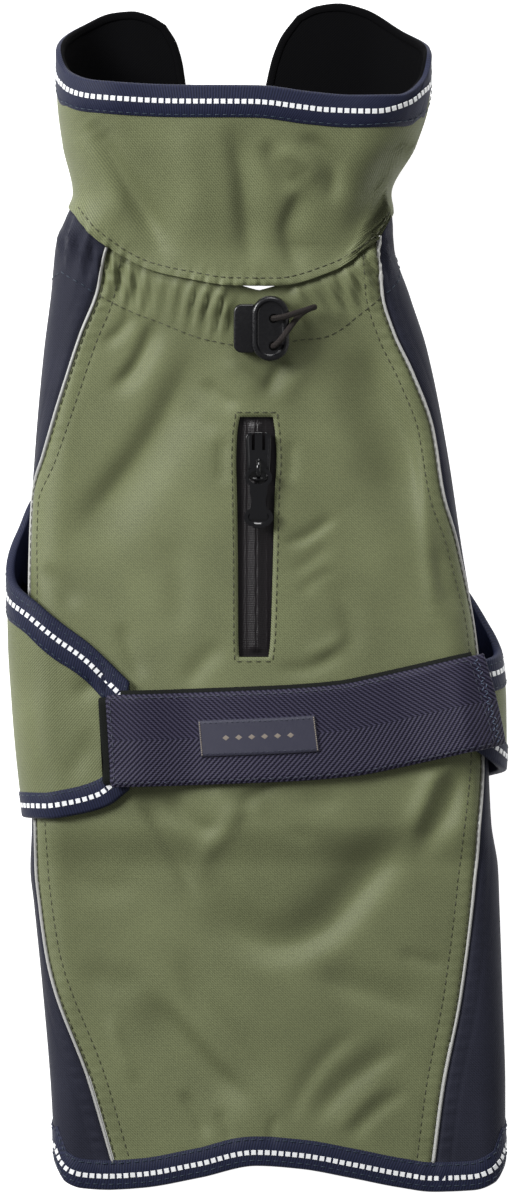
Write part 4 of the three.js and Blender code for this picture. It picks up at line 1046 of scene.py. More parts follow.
TUCKED = 1.5  # cloth runs on under a binding to this far from its free edge
AT_PIPING = PIPING / 2 + SEAM_GAP / 2
AT_NECK = 0.4
BODY_MIDDLE = 200  # where the search for a place on the body starts
BACK_ROWS_REAR, BACK_ROWS_WINDOW, BACK_ROWS_FRONT = 132, 66, 52
BACK_COLUMNS_SIDE, BACK_COLUMNS_WINDOW = 52, 10
# The window's left and right edges, which bulge round the zip's slider.
window_edges = [
    (214.8, -7.0, 4.8), (222, -7.3, 5.6), (250, -7.4, 6.5), (280, -7.8, 7.3), (294, -8.1, 8),
    (304, -7.7, 7.5), (310.8, -6.7, 6.6),
]
window_side = columns_of(window_edges)


def level_with_window(y):
    """The nearest y that the window reaches."""
    return np.clip(y, WINDOW_REAR, WINDOW_FRONT)


def between(stops, at):
    """The value at a place among stops, where 0 is the first one, 1 the second and so on."""
    spans = zip(stops, stops[1:])
    return stops[0] + sum((b - a) * np.clip(at - k, 0, 1) for k, (a, b) in enumerate(spans))


def back_grid():
    """Places over the back in nine fields, of which the middle one is the window."""
    rows_rear = np.linspace(0, 1, BACK_ROWS_REAR + 1)
    rows_window = np.linspace(1, 2, BACK_ROWS_WINDOW + 1)
    rows_front = 2 + np.linspace(0, 1, BACK_ROWS_FRONT + 1) ** 0.8
    columns_side = np.linspace(0, 1, BACK_COLUMNS_SIDE + 1) ** 1.35
    columns_window = np.linspace(1, 2, BACK_COLUMNS_WINDOW + 1)
    bands = np.r_[rows_rear, rows_window[1:], rows_front[1:]]
    fields = np.r_[columns_side, columns_window[1:], 3 - columns_side[::-1][1:]]
    field, band = np.meshgrid(fields, bands)
    y = np.full(field.shape, float(BODY_MIDDLE))
    for _ in range(TO_AND_FRO):
        left, right = beside(left_piping, y, AT_PIPING), beside(right_piping, y, -AT_PIPING)
        window_left, window_right = (coat.over(edge(level_with_window(y)), y) for edge in window_side)
        way = between([left, window_left, window_right, right], field)
        front = back_front(way) - AT_NECK * np.hypot(1, slope_of(neck_seam, way))
        y = mix(y, between([beside(hem, way, TUCKED), WINDOW_REAR, WINDOW_FRONT, front], band), NEARER)
    across_window = (field[:-1, :-1] > 0.999) & (field[1:, 1:] < 2.001)
    along_window = (band[:-1, :-1] > 0.999) & (band[1:, 1:] < 2.001)
    return way, y, ~(across_window & along_window).ravel()


def rolled(distance, drop=0.9, width=1.3):
    """How far cloth dips where it turns down into a seam, that many mm away."""
    return -drop * np.exp(-((np.maximum(distance, 0) / width) ** 2))


NECK_ROLL, NECK_ROLL_WIDTH = 1.5, 3.4
back_way, back_y, back_keep = back_grid()
to_piping = np.minimum(*(off_curve(curve, back_way, back_y) for curve in pipings))
back_high = rolled(to_piping) + rolled(back_front(back_way) - back_y, NECK_ROLL, NECK_ROLL_WIDTH)
back_cloths = [olive_twill, black_lining]
back_panel = shell("back_panel_cloth", coat, back_way, back_y, back_high, -SHELL, back_cloths, back_keep)
sew_in(back_panel, "back_panel")


# ---- Side panels -----------------------------------------------------------------------------------
# Two navy panels in the same coated twill, sewn to the back along the piping and slightly puckered by
# its seams. They bend down round the coat's sides and end under its belly.

left_free_outline = [
    ("under", [
        (-75, 21), (-68, 44), (-61, 66), (-50, 110), (-50, 190), (-62, 240), (-74, 272), (-78, 296),
        (-75, 314), (-64, 331), (-46, 346), (-28, 358), (-17, 376), (-17, 404)
    ]),
]
right_free_outline = [
    ("under", [
        (94, 21), (85, 44), (75, 66), (58, 110), (52, 190), (58, 240), (67, 272), (69, 296), (66, 314),
        (56, 331), (42, 346), (30, 358), (23, 376), (23, 404)
    ]),
]
left_free = coat.outline(left_free_outline, "y")
right_free = coat.outline(right_free_outline, "y")
navy_twill = twill("navy_twill", (0.019, 0.020, 0.031), 0.55, 0.08, 0.4)

body_edges = {"rear": hem, "front": neck_seam, "start_y": BODY_MIDDLE, "crowding": 1.3}
left_edges = {**body_edges, "left": left_free, "right": left_piping}
right_edges = {**body_edges, "left": right_piping, "right": right_free}
SIDE_COLUMNS, SIDE_ROWS = 56, 230


def side_panel(node_name, edges, piping_side, free_side):
    """One side panel, dipped where it turns down into the piping's seam and the neck seam."""
    u = np.linspace(0, 1, SIDE_COLUMNS + 1)
    u = 1 - (1 - u) ** 1.35 if piping_side == "right" else u**1.35
    inset = {piping_side: AT_PIPING, free_side: TUCKED, "rear": TUCKED, "front": AT_NECK}
    way, y = place_in(edges, inset, u[None, :], np.linspace(0, 1, SIDE_ROWS + 1)[:, None])
    high = rolled(off_curve(edges[piping_side], way, y)) + rolled(neck_seam(way) - y, 0.7, 1.6)
    panel = shell(f"{node_name}_cloth", coat, way, y, high, -SHELL, [navy_twill, black_lining])
    sew_in(panel, node_name)
    return panel


side_left = side_panel("side_panel_left", left_edges, "right", "left")
side_right = side_panel("side_panel_right", right_edges, "left", "right")


# ---- Piping ----------------------------------------------------------------------------------------
# A thin grey reflective cord in each seam between the back and a side panel. Only its round upper
# half shows.

PIPING_STEPS = 260
piping_half = [(0.2, 0.42), (0.5, 0.12), (0.66, -0.35), (0.62, -1.1)]  # aside, and off the cloth
piping_profile = [(-aside, out) for aside, out in piping_half[::-1]] + piping_half
reflective_grey = finish_of("reflective_grey", (0.36, 0.36, 0.34), 0.42, sheen=0.1)
speckle = cloth_noise(reflective_grey, *uv_axes(reflective_grey), 1400.0)
speckled = blend_colours(reflective_grey, speckle, (0.27, 0.27, 0.26), (0.45, 0.45, 0.43))
paint(reflective_grey, speckled, speckle, 0.05 * MM)


def sideways(way, y):
    """The unit direction across a run of places, to the left of travel."""
    run_way, run_y = np.gradient(way), np.gradient(y)
    length = np.hypot(run_way, run_y)
    return -run_y / length, run_way / length


def swept(name, surface, way, y, out, materials, around_uv, second=None):
    """A closed bar. Row j of way, y and out is its section at the j-th step along. second tells which
    sides of the section take the second material."""
    steps, sides = way.shape
    points = surface.point(way, y, out)
    middle = points.mean(axis=1)
    along = np.r_[0, np.cumsum(np.linalg.norm(np.diff(middle, axis=0), axis=1))]
    sleeve, ends = ring_faces(steps, sides)
    flat = points.reshape(-1, 3)
    faces = sleeve.tolist() + ends
    if volume_of(flat, sleeve) < 0:
        faces = [face[::-1] for face in faces]
    uvs = np.stack(np.broadcast_arrays(along[:, None], around_uv[None, :]), -1).reshape(-1, 2) * MM
    face_material = None if second is None else np.r_[np.tile(second, steps - 1), 0, 0]
    return mesh_piece(name, in_frame(flat), faces, uvs, materials, face_material)


def piping(node_name, curve):
    """The cord in one seam, from the hem's binding to the neck seam."""
    y = np.linspace(11.5, 400, PIPING_STEPS)
    way = curve(y)
    inside = (y > hem(way) + HEM_BINDING - 1.5) & (y < neck_seam(way) - 0.2)
    way, y = way[inside], y[inside]
    aside_way, aside_y = sideways(way, y)
    across, out = np.array(piping_profile).T
    bar = swept(
        f"{node_name}_cord",
        coat,
        way[:, None] + aside_way[:, None] * across,
        y[:, None] + aside_y[:, None] * across,
        np.broadcast_to(out, (len(way), len(out))),
        [reflective_grey],
        np.r_[0, np.cumsum(np.hypot(np.diff(across), np.diff(out)))],
    )
    sew_in(bar, node_name)
    return bar


piping_left = piping("piping_left", left_piping)
piping_right = piping("piping_right", right_piping)


# ---- Hem binding -----------------------------------------------------------------------------------
# Navy ribbed tape folded over the hem and up both free edges, with a narrow reflective ladder woven
# along its middle, and topstitched near both of its edges.

BINDING_PROUD, FOLD_ROUND, TAPE_WALL = 0.45, 1.1, 0.4
LADDER_SQUARE, LADDER_PITCH, LADDER_THICK, LADDER_UP = 2.0, 2.75, 0.16, 0.1
STITCH_PITCH, STITCH_LENGTH, THREAD = 3.2, 2.75, 0.4
HEM_LADDER, HEM_ROWS = 5.6, (HEM_BINDING - 1.2, 2.4)  # how far in from the free edge they lie

binding_tape = finish_of("binding_tape", (0.002, 0.003, 0.011), 0.6, specular=0.2)
tape_along, tape_across = uv_axes(binding_tape)
slanting_ribs = ribs_across(binding_tape, tape_along, tape_across, 1.1, 0.35)
fuzz = cloth_noise(binding_tape, tape_along, tape_across, 900.0)
woven(binding_tape, slanting_ribs, fuzz, 0.4, (0.002, 0.003, 0.011), (0.016, 0.020, 0.052), 0.1)
reflective_white = finish_of("reflective_white", (0.74, 0.75, 0.76), 0.4)
navy_thread = finish_of("navy_thread", (0.010, 0.022, 0.040), 0.55)


class Strip:
    """A strip between two runs of places, from its free edge in to where the panels' cloth starts.
    Places on it are steps along, from 0 to 1, and mm from the free edge."""

    def __init__(self, legs, width):
        self.width = width
        outer, inner = [], []
        for edges, inset, bound, start, end, count in legs:
            shares = np.linspace(0, 1, count + 1)
            u, v = mix(start[0], end[0], shares), mix(start[1], end[1], shares)
            inner.append(np.stack(place_in(edges, inset, u, v), -1))
            open_inset = {**inset, **{side: 0 for side in bound}}
            outer.append(np.stack(place_in(edges, open_inset, u, v), -1))
        self.outer, self.inner = np.concatenate(outer), np.concatenate(inner)
        gaps = np.linalg.norm(np.diff(self.inner, axis=0), axis=1)
        keep = np.r_[True, gaps > 0.05]
        self.outer, self.inner = self.outer[keep], self.inner[keep]

    def places(self, inward):
        """Way and y along the strip, at each distance in inward from its free edge."""
        share = np.asarray(inward, float)[None, :, None] / self.width
        both = mix(self.outer[:, None, :], self.inner[:, None, :], share)
        return both[..., 0], both[..., 1]


def fold_profile(width, deep, inner):
    """The section of a tape folded over cloth that is deep mm thick, as (inward, out) points that go
    round it: along its outer face, round the free edge, back inside, and along within the fold."""
    high, low = BINDING_PROUD, -deep - BINDING_PROUD
    middle, radius = (high + low) / 2, (high - low) / 2
    turns = [math.radians(a) for a in range(0, 181, 20)]
    outside = [(width, high - 0.25), (width - 0.35, high), (width * 0.6, high + 0.08)]
    outside += [(FOLD_ROUND * (1 - math.sin(a)), middle + radius * math.cos(a)) for a in turns]
    outside += [(inner * 0.6, low - 0.05), (inner - 0.35, low), (inner, low + 0.25)]
    inside = [(inner, low + TAPE_WALL), (FOLD_ROUND * 1.6, low + TAPE_WALL)]
    inside += [(FOLD_ROUND * 1.6, high - TAPE_WALL), (width, high - TAPE_WALL)]
    return outside + inside


def bound_edge(name, surface, strip, width, deep, materials, inner=None):
    """A tape that covers the cloth for width mm outside, and for inner mm on its lining side. If it has two materials,
    its lining side takes the second one as painted shade."""
    inward, out = np.array(fold_profile(width, deep, inner or width)).T
    way, y = strip.places(inward)
    around = np.r_[0, np.cumsum(np.hypot(np.diff(inward), np.diff(out)))]
    # The faces on the lining side, which take the second material as painted shade.
    painted_shade_faces = (out + np.roll(out, -1)) / 2 < -deep / 2
    second = painted_shade_faces if len(materials) > 1 else None
    return swept(name, surface, way, y, np.broadcast_to(out, way.shape), materials, around, second)


def spindle(length, thread):
    """A stitch: thread that comes up out of the cloth, lies along it and goes down again."""
    sides = 5
    points = [(-length / 2, 0, -thread)]
    for along in (-length * 0.28, length * 0.28):
        for k in range(sides):
            turn = 2 * math.pi * k / sides
            points.append((along, thread / 2 * math.cos(turn), thread / 2 * math.sin(turn) + thread * 0.1))
    points.append((length / 2, 0, -thread))
    faces = []
    for k in range(sides):
        a, b = 1 + k, 1 + (k + 1) % sides
        faces += [(0, b, a), (a, b, b + sides, a + sides), (2 * sides + 1, a + sides, b + sides)]
    return np.array(points), faces


def low_patch(foot, top):
    """A thin four-sided patch between a foot and a top, each four points."""
    faces = [(3, 2, 1, 0), (4, 5, 6, 7)] + [(k, (k + 1) % 4, 4 + (k + 1) % 4, 4 + k) for k in range(4)]
    return np.array([*foot, *top]), faces


def square(half, height):
    """The four corners of a square, at that height."""
    return [(-half, -half, height), (half, -half, height), (half, half, height), (-half, half, height)]


def sewn_along(name, runs, shape, pitch, material, smooth=True):
    """Copies of a small shape along runs, each (surface, way, y, height), pitch mm apart."""
    template, template_faces = shape
    points, faces = [], []
    for surface, way, y, height in runs:
        line = surface.point(way, y, np.zeros(len(way)))
        along = np.r_[0, np.cumsum(np.linalg.norm(np.diff(line, axis=0), axis=1))]
        count = int(along[-1] / pitch)
        centres = (np.arange(count) + 0.5) * along[-1] / count
        run = [way, y, np.broadcast_to(height, len(way))]
        ends = [
            surface.point(*(np.interp(centres + step, along, values) for values in run))
            for step in (-0.5, 0, 0.5)
        ]
        mid_way, mid_y = np.interp(centres, along, way), np.interp(centres, along, y)
        ahead = ends[2] - ends[0]
        ahead /= np.linalg.norm(ahead, axis=1)[:, None]
        up = surface.normal(mid_way, mid_y)
        aside = np.cross(up, ahead)
        aside /= np.linalg.norm(aside, axis=1)[:, None]
        up = np.cross(ahead, aside)
        for centre, a, s, n in zip(ends[1], ahead, aside, up):
            start = len(points) * len(template)
            points.append(centre + template @ np.array([a, s, n]))
            faces += [tuple(start + v for v in face) for face in template_faces]
    made = mesh_piece(name, in_frame(np.concatenate(points)), faces, None, [material], smooth=smooth)
    made.data.validate()
    return made


def stitched(name, runs, thread):
    """Lockstitches along runs."""
    return sewn_along(name, runs, spindle(STITCH_LENGTH, THREAD), STITCH_PITCH, thread)


def ladder_on(name, runs):
    """The ladder's reflective squares along runs."""
    patch = low_patch(square(LADDER_SQUARE / 2, -LADDER_UP), square(LADDER_SQUARE / 2 - 0.12, LADDER_THICK))
    return sewn_along(name, runs, patch, LADDER_PITCH, reflective_white, smooth=False)


AT_HEM = HEM_BINDING + SEAM_GAP
body_ends = {"rear": AT_HEM, "front": AT_NECK}
left_inset = {**body_ends, "left": AT_HEM, "right": AT_PIPING}
right_inset = {**body_ends, "left": AT_PIPING, "right": AT_HEM}
back_inset = {**body_ends, "left": AT_PIPING, "right": AT_PIPING}
back_rim = {**body_edges, "left": left_piping, "right": right_piping}
hem_strip = Strip(
    [
        (left_edges, left_inset, ["left", "rear"], (0, 1), (0, 0), 170),
        (left_edges, left_inset, ["left", "rear"], (0, 0), (1, 0), 32),
        (back_rim, back_inset, ["rear"], (0, 0), (1, 0), 90),
        (right_edges, right_inset, ["right", "rear"], (0, 0), (1, 0), 32),
        (right_edges, right_inset, ["right", "rear"], (1, 0), (1, 1), 170),
    ],
    AT_HEM,
)
hem_binding = bound_edge("hem_binding_tape", coat, hem_strip, HEM_BINDING, SHELL, [binding_tape])
sew_in(hem_binding, "hem_binding")


def run_on(surface, strip, inward, above=0.0):
    """A run along a strip, inward mm from its free edge and that far above the tape."""
    way, y = strip.places([inward])
    return surface, way[:, 0], y[:, 0], BINDING_PROUD + above


hem_ladder = ladder_on("hem_ladder", [run_on(coat, hem_strip, HEM_LADDER, LADDER_UP)])
hem_rows = [run_on(coat, hem_strip, inward, 0.05) for inward in HEM_ROWS]
hem_stitches = stitched("hem_stitches", hem_rows, navy_thread)
for piece in (hem_ladder, hem_stitches):
    sew_in(piece, "hem_binding", stands_for=False)


# ---- Topstitching on the body ----------------------------------------------------------------------
# Dark olive lockstitch, 3.2 mm long: two rows inside each piping, one that closes the drawcord's
# casing, and one round the zip's window. Over the side panels the casing's row goes on in navy.

casing_line = [
    (-63.4, 359.6), (-56.6, 356), (-49, 352.4), (-37.4, 348), (-25.4, 343.2), (-16.2, 340.8),
    (-4, 338.8), (8, 339), (15, 341.2), (27.4, 342.8), (33.4, 345.6), (41, 351.6), (46.6, 356),
    (50.2, 359.2),
]
casing_sides = [
    [(-92, 366), (-78, 369), (-70, 364), (-65, 360.4)],
    [(51.5, 360), (57, 366), (66, 372), (78, 376)],
]
WINDOW_STITCH = 1.8
STITCH_UP = 0.08
olive_thread = finish_of("olive_thread", (0.040, 0.042, 0.020), 0.6)


def run_beside(curve, inward, y_from, y_to):
    """Places beside a lengthwise curve, inward mm to its right."""
    y = np.arange(y_from, y_to, 1.0)
    way = curve(y)
    aside_way, aside_y = sideways(way, y)
    way, y = way - aside_way * inward, y - aside_y * inward
    inside = (y > hem(way) + HEM_BINDING) & (y < neck_seam(way) - 0.8)
    return way[inside], y[inside]


def run_through(points):
    """A smooth run over the back through points given as x and y."""
    route = smooth_route([(x, y, 0) for x, y in points], 12)
    return coat.over(route[:, 0], route[:, 1]), route[:, 1]


def beside_window(side):
    """The row of stitches down one side of the zip's window: -1 for its left, 1 for its right."""
    y = np.linspace(WINDOW_REAR - WINDOW_STITCH, WINDOW_FRONT + WINDOW_STITCH, 90)
    edge = window_side[0 if side < 0 else 1](level_with_window(y))
    return coat.over(edge + side * WINDOW_STITCH, y), y


def across_window(y):
    """The row of stitches across one end of the window."""
    left, right = (float(edge(level_with_window(y))) for edge in window_side)
    x = np.linspace(left - WINDOW_STITCH, right + WINDOW_STITCH, 30)
    return coat.over(x, y), np.full(30, y)


window_ends = (WINDOW_REAR - WINDOW_STITCH, WINDOW_FRONT + WINDOW_STITCH)
body_rows = [run_beside(left_piping, inward, 5, 400) for inward in PIPING_ROWS]
body_rows += [run_beside(right_piping, -inward, 5, 400) for inward in PIPING_ROWS]
body_rows.append(run_through(casing_line))
body_rows += [beside_window(side) for side in (-1, 1)]
body_rows += [across_window(y) for y in window_ends]
side_rows = [(coat.over(*np.array(row).T), np.array(row)[:, 1]) for row in casing_sides]
body_stitches, side_stitches = (
    stitched(name, [(coat, *row, STITCH_UP) for row in rows], thread)
    for name, rows, thread in (
        ("body_stitches", body_rows, olive_thread),
        ("side_stitches", side_rows, navy_thread),
    )
)
sew_in(body_stitches, "back_panel", stands_for=False)
sew_in(side_stitches, "side_panel_left", stands_for=False)

# The three panels were cut flat, sewn along the pipings and laid down empty. Each is as wide as its
# widest row across, and the areas leave out what the cutter trims away.
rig.sheet(
    back_panel,
    flat=(0.190, 0.382),
    held="laid",
    rests_on=[side_left, side_right],
    area=0.0585,
    with_pieces=[body_stitches, hem_binding, hem_ladder, hem_stitches],
)
for side, width, area, sewn_on in (
    (side_left, 0.105, 0.0195, [piping_left, side_stitches]),
    (side_right, 0.086, 0.0186, [piping_right]),
):
    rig.sheet(side, flat=(width, 0.402), held="laid", rests_on=[board], area=area, with_pieces=sewn_on)


# ---- Collar ----------------------------------------------------------------------------------------
# A funnel of the olive twill over a black brushed lining, open at the throat. Its rear edge is turned
# under and topstitched over the neck seam, and the bound tape runs round its rim and throat edges.

COLLAR_SHELL, LINING, COLLAR_BINDING = 1.2, 1.0, 13
COLLAR_LADDER, COLLAR_ROW = 6.6, COLLAR_BINDING - 1.1
NECK_ROW, NECK_ROW_UP = 2.2, 0.35  # the stitches in front of the neck seam
PRESSED = 0.6  # the tape presses the cloth under it this much flatter
COLLAR_COLUMNS, COLLAR_ROWS = 280, 104
OVERLAP = 1.0  # the collar's turned edge lies this far over the back
UNDER_TAPE = 1.6  # the lining runs on under the tape to this far from the rim
TAPE_INSIDE = 3.2  # the tape is folded over to this width on the lining side
rim_outline = [
    ("under", [(-36.6, 469.6), (-43, 473.4), (-50, 475.2), (-58.6, 474.4), (-70, 469.4), (-80.4, 459)]),
    ("over", [
        (-76, 449), (-64.2, 444.8), (-29, 442.8), (0, 442.6), (22.6, 440), (38.2, 438.8), (57, 439.2),
        (67, 446)
    ]),
    ("under", [(70.2, 457.4), (59.8, 466.6), (43.4, 476.2), (33, 478.4), (24, 477.2), (16.4, 473.4)]),
]
left_slit_outline = [
    ("under", [(-17, 404), (-28, 440), (-29.4, 452), (-32, 462), (-36.6, 469.6)]),
]
right_slit_outline = [
    ("under", [(23, 404), (3, 440), (5.4, 453), (9.4, 464), (16.4, 473.4)]),
]

collar_edges = {
    "left": coat.outline(left_slit_outline, "y"),
    "right": coat.outline(right_slit_outline, "y"),
    "rear": neck_seam,
    "front": coat.outline(rim_outline),
    "start_y": 430,
}
collar_tuck = {"left": TUCKED, "right": TUCKED, "front": TUCKED, "rear": -OVERLAP}
collar_u = np.linspace(0, 1, COLLAR_COLUMNS + 1)[None, :]
collar_v = (np.linspace(0, 1, COLLAR_ROWS + 1) ** 1.25)[:, None]
collar_way, collar_y = place_in(collar_edges, collar_tuck, collar_u, collar_v)
from_seam = collar_y - neck_seam(collar_way)
to_rim = off_curve(collar_edges["front"], collar_y, collar_way)
collar_high = -rolled(from_seam + OVERLAP, 0.75, 3.2)
collar_high -= PRESSED * smoothstep((COLLAR_BINDING - 0.6 - to_rim) / 1.6)
collar_low = -COLLAR_SHELL - rolled(from_seam + OVERLAP, 1.35, 1.8)
collar_cloths = [olive_twill, black_lining]
collar_shell = shell("collar_cloth", coat, collar_way, collar_y, collar_high, collar_low, collar_cloths)
sew_in(collar_shell, "collar")

lining_tuck = {"left": UNDER_TAPE, "right": UNDER_TAPE, "front": UNDER_TAPE, "rear": AT_NECK}
lining_way, lining_y = place_in(collar_edges, lining_tuck, collar_u[:, ::2], collar_v[::2])
lining_top = -COLLAR_SHELL - SEAM_GAP
lining_foot = lining_top - LINING
collar_lining = shell(
    "collar_lining_cloth", coat, lining_way, lining_y, lining_top, lining_foot, [black_lining]
)
sew_in(collar_lining, "collar_lining")

AT_RIM = COLLAR_BINDING + SEAM_GAP
collar_inset = {"left": AT_RIM, "right": AT_RIM, "front": AT_RIM, "rear": AT_NECK}
rim_sides = ["left", "right", "front"]
collar_strip = Strip(
    [
        (collar_edges, collar_inset, rim_sides, (0, 0), (0, 1), 40),
        (collar_edges, collar_inset, rim_sides, (0, 1), (1, 1), 260),
        (collar_edges, collar_inset, rim_sides, (1, 1), (1, 0), 40),
    ],
    AT_RIM,
)
# On its lining side the navy tape takes the black lining cloth instead: painted shade, because that side of the tape
# lies in shade.
collar_tape_and_painted_shade = [binding_tape, black_lining]
collar_binding = bound_edge(
    "collar_binding_tape", coat, collar_strip, COLLAR_BINDING, -lining_foot, collar_tape_and_painted_shade, TAPE_INSIDE
)
collar_ladder = ladder_on("collar_ladder", [run_on(coat, collar_strip, COLLAR_LADDER, LADDER_UP)])
collar_stitches = stitched("collar_stitches", [run_on(coat, collar_strip, COLLAR_ROW)], navy_thread)
seam_ways = np.linspace(float(coat.over(-71, 393)), float(coat.over(52.5, 391)), 260)
neck_row = (coat, seam_ways, neck_seam(seam_ways) + NECK_ROW, NECK_ROW_UP)
neck_stitches = stitched("neck_stitches", [neck_row], olive_thread)
sew_in(collar_binding, "collar_binding")
for piece in (collar_ladder, collar_stitches):
    sew_in(piece, "collar_binding", stands_for=False)
sew_in(neck_stitches, "collar", stands_for=False)
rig.sheet(
    collar_shell,
    flat=(0.327, 0.114),
    held="laid",
    rests_on=[back_panel, board],
    area=0.0208,
    with_pieces=[collar_binding, collar_ladder, collar_stitches, neck_stitches],
)
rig.sheet(collar_lining, flat=(0.327, 0.112), held="laid", rests_on=[collar_shell], area=0.0196)


# ---- Belly panel -----------------------------------------------------------------------------------
# The panel that goes under the chest and up both sides: olive twill on a black lining, its front and
# rear edges bound. Its left wing lies on the back under the belt's end, and the belt is sewn to the
# right one.

BAND_RISE = 3.4  # the wings lie this far above the body's back
BELLY_SHELL, FRONT_BINDING, REAR_BINDING = 1.4, 13, 10.5
FRONT_LADDER, REAR_LADDER = 6.3, 5.2
BELLY_COLUMNS, BELLY_ROWS = 240, 54
LEFT_WING_X, RIGHT_WING_X = -51, 86.4  # where the wings' cloth ends, under the belt
band_sides = [
    (120, -93.4, 98.4), (150, -93.9, 98.4), (163, -95.4, 99.6), (178, -97, 100.6), (198, -98.6, 100.4),
    (222, -100, 97.6), (245, -100.3, 93.8), (265, -99.6, 91), (285, -97.5, 87), (350, -90, 80),
]
belly_front_outline = [
    ("over", [(LEFT_WING_X, 205), (-66.2, 219.6), (-77.4, 228), (-89, 237.2), (-98.8, 245.5)]),
    ("under", [
        (-96.6, 265.6), (-89.8, 279.6), (-72, 284), (-55, 290), (-42, 304), (-34, 326), (-27, 348),
        (-14, 356), (18, 356), (31, 348), (38, 326), (45, 300), (57, 279), (72, 260), (85.4, 242),
        (94.4, 227)
    ]),
    ("over", [(99, 218), (RIGHT_WING_X, 212.5)]),
]
belly_rear_outline = [
    ("over", [(LEFT_WING_X, 161.5), (-59.8, 155), (-71.8, 151.6), (-83.4, 150)]),
    ("under", [(-84, 150.6), (0, 152), (70, 158), (92, 166)]),
    ("over", [(99, 170), (RIGHT_WING_X, 178)]),
]
# Small folds in the two wings, as in the back's table.
wing_folds = [
    (-1.2, 3.6, 3.6, [(-58, 208), (-66, 203), (-74, 198)]),
    (-1.0, 4, 4, [(-68, 182), (-62, 173), (-54, 165)]),
    (0.9, 5, 5, [(-88, 226), (-78, 215), (-68, 204)]),
    (0.8, 6, 6, [(-93, 204), (-89, 185), (-85, 166)]),
    (-0.8, 4, 4, [(-76, 164), (-70, 176), (-64, 188)]),
    (-1.0, 4, 4, [(84, 226), (88, 208), (90, 188)]),
    (0.8, 4, 4, [(78, 214), (82, 196), (84, 178)]),
]
band_curves = columns_of(band_sides)


def band_section(y):
    """The section of the panel where it goes round the body, outside it."""
    _, _, side, dome, lift = coat_section(y)
    return band_curves[0](y), band_curves[1](y), side + (lift + BAND_RISE) / 2, dome, 0.0 * y


def wing_relief(way, y, x):
    """Height of the wings' small folds."""
    x, y = np.broadcast_arrays(x, y)
    rise = np.zeros(x.shape)
    for fold in wing_folds:
        rise += fold_rise(x, y, *fold)
    return rise


band = Tube(band_section, wing_relief)


class BellySurface:
    """The band with its places measured from the middle of the belly, positive towards +X."""

    def turned(self, way, y):
        """A way from the middle of the belly, as one from the middle of the back, or the reverse."""
        return np.where(way < 0, -1.0, 1.0) * (band.measures(y)[5] - np.abs(way))

    def point(self, way, y, out):
        """As on the band."""
        return band.point(self.turned(way, y), y, out)

    def normal(self, way, y):
        """As on the band."""
        return band.normal(self.turned(way, y), y)

    def outline(self, runs):
        """The curve of y against round through an outline's places."""
        places = [(getattr(band, side)(x, y), y) for side, run in runs for x, y in run]
        return curve_through([float(self.turned(*place)) for place in places], [y for _, y in places])


belly = BellySurface()


def wing_end(x):
    """A wing's end, straight along the coat."""
    return lambda y: belly.turned(band.over(x, y), y)


belly_edges = {
    "left": wing_end(LEFT_WING_X),
    "right": wing_end(RIGHT_WING_X),
    "rear": belly.outline(belly_rear_outline),
    "front": belly.outline(belly_front_outline),
    "start_y": 190,
}
belly_u = np.linspace(0, 1, BELLY_COLUMNS + 1)[None, :]
belly_v = np.linspace(0, 1, BELLY_ROWS + 1)[:, None]
belly_way, belly_y = place_in(belly_edges, {"rear": TUCKED, "front": TUCKED}, belly_u, belly_v)
belly_shell = shell("belly_cloth", belly, belly_way, belly_y, 0, -BELLY_SHELL, [olive_twill, black_lining])
belly_lining_top = -BELLY_SHELL - SEAM_GAP
belly_deep = LINING - belly_lining_top
every_other = (slice(None, None, 2), slice(None, None, 2))
belly_lining = shell(
    "belly_lining_cloth",
    belly,
    belly_way[every_other],
    belly_y[every_other],
    belly_lining_top,
    -belly_deep,
    [black_lining],
)
belly_inset = {"rear": REAR_BINDING + SEAM_GAP, "front": FRONT_BINDING + SEAM_GAP}
front_strip = Strip([(belly_edges, belly_inset, ["front"], (0, 1), (1, 1), 300)], belly_inset["front"])
rear_strip = Strip([(belly_edges, belly_inset, ["rear"], (0, 0), (1, 0), 300)], belly_inset["rear"])
front_binding, rear_binding = (
    bound_edge(f"belly_{end}_tape", belly, strip, width, belly_deep, [binding_tape])
    for end, strip, width in (("front", front_strip, FRONT_BINDING), ("rear", rear_strip, REAR_BINDING))
)
belly_ladders = ((front_strip, FRONT_LADDER), (rear_strip, REAR_LADDER))
belly_ladder = ladder_on(
    "belly_ladder", [run_on(belly, strip, inward, LADDER_UP) for strip, inward in belly_ladders]
)
belly_rows = [run_on(belly, front_strip, inward) for inward in (FRONT_BINDING - 1.2, 2.6)]
belly_rows.append(run_on(belly, rear_strip, REAR_BINDING - 1.2))
belly_stitches = stitched("belly_stitches", belly_rows, navy_thread)
sew_in(belly_shell, "belly_panel")
sew_in(belly_lining, "belly_lining")
sew_in(front_binding, "belly_binding_front")
sew_in(rear_binding, "belly_binding_rear")
for piece in (belly_ladder, belly_stitches):
    sew_in(piece, "belly_binding_front", stands_for=False)
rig.sheet(
    belly_shell,
    flat=(0.301, 0.203),
    held="laid",
    rests_on=[back_panel, board],
    area=0.0355,
    with_pieces=[front_binding, rear_binding, belly_ladder, belly_stitches],
)
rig.sheet(belly_lining, flat=(0.301, 0.203), held="laid", rests_on=[belly_shell], area=0.0348)


# ---- Belt, its backing and the loop patch ----------------------------------------------------------
# Navy herringbone webbing 37 mm wide, sewn down to the right wing and carried over the back to a
# fuzzy loop patch on the left one. A black backing strip shows along its front edge.

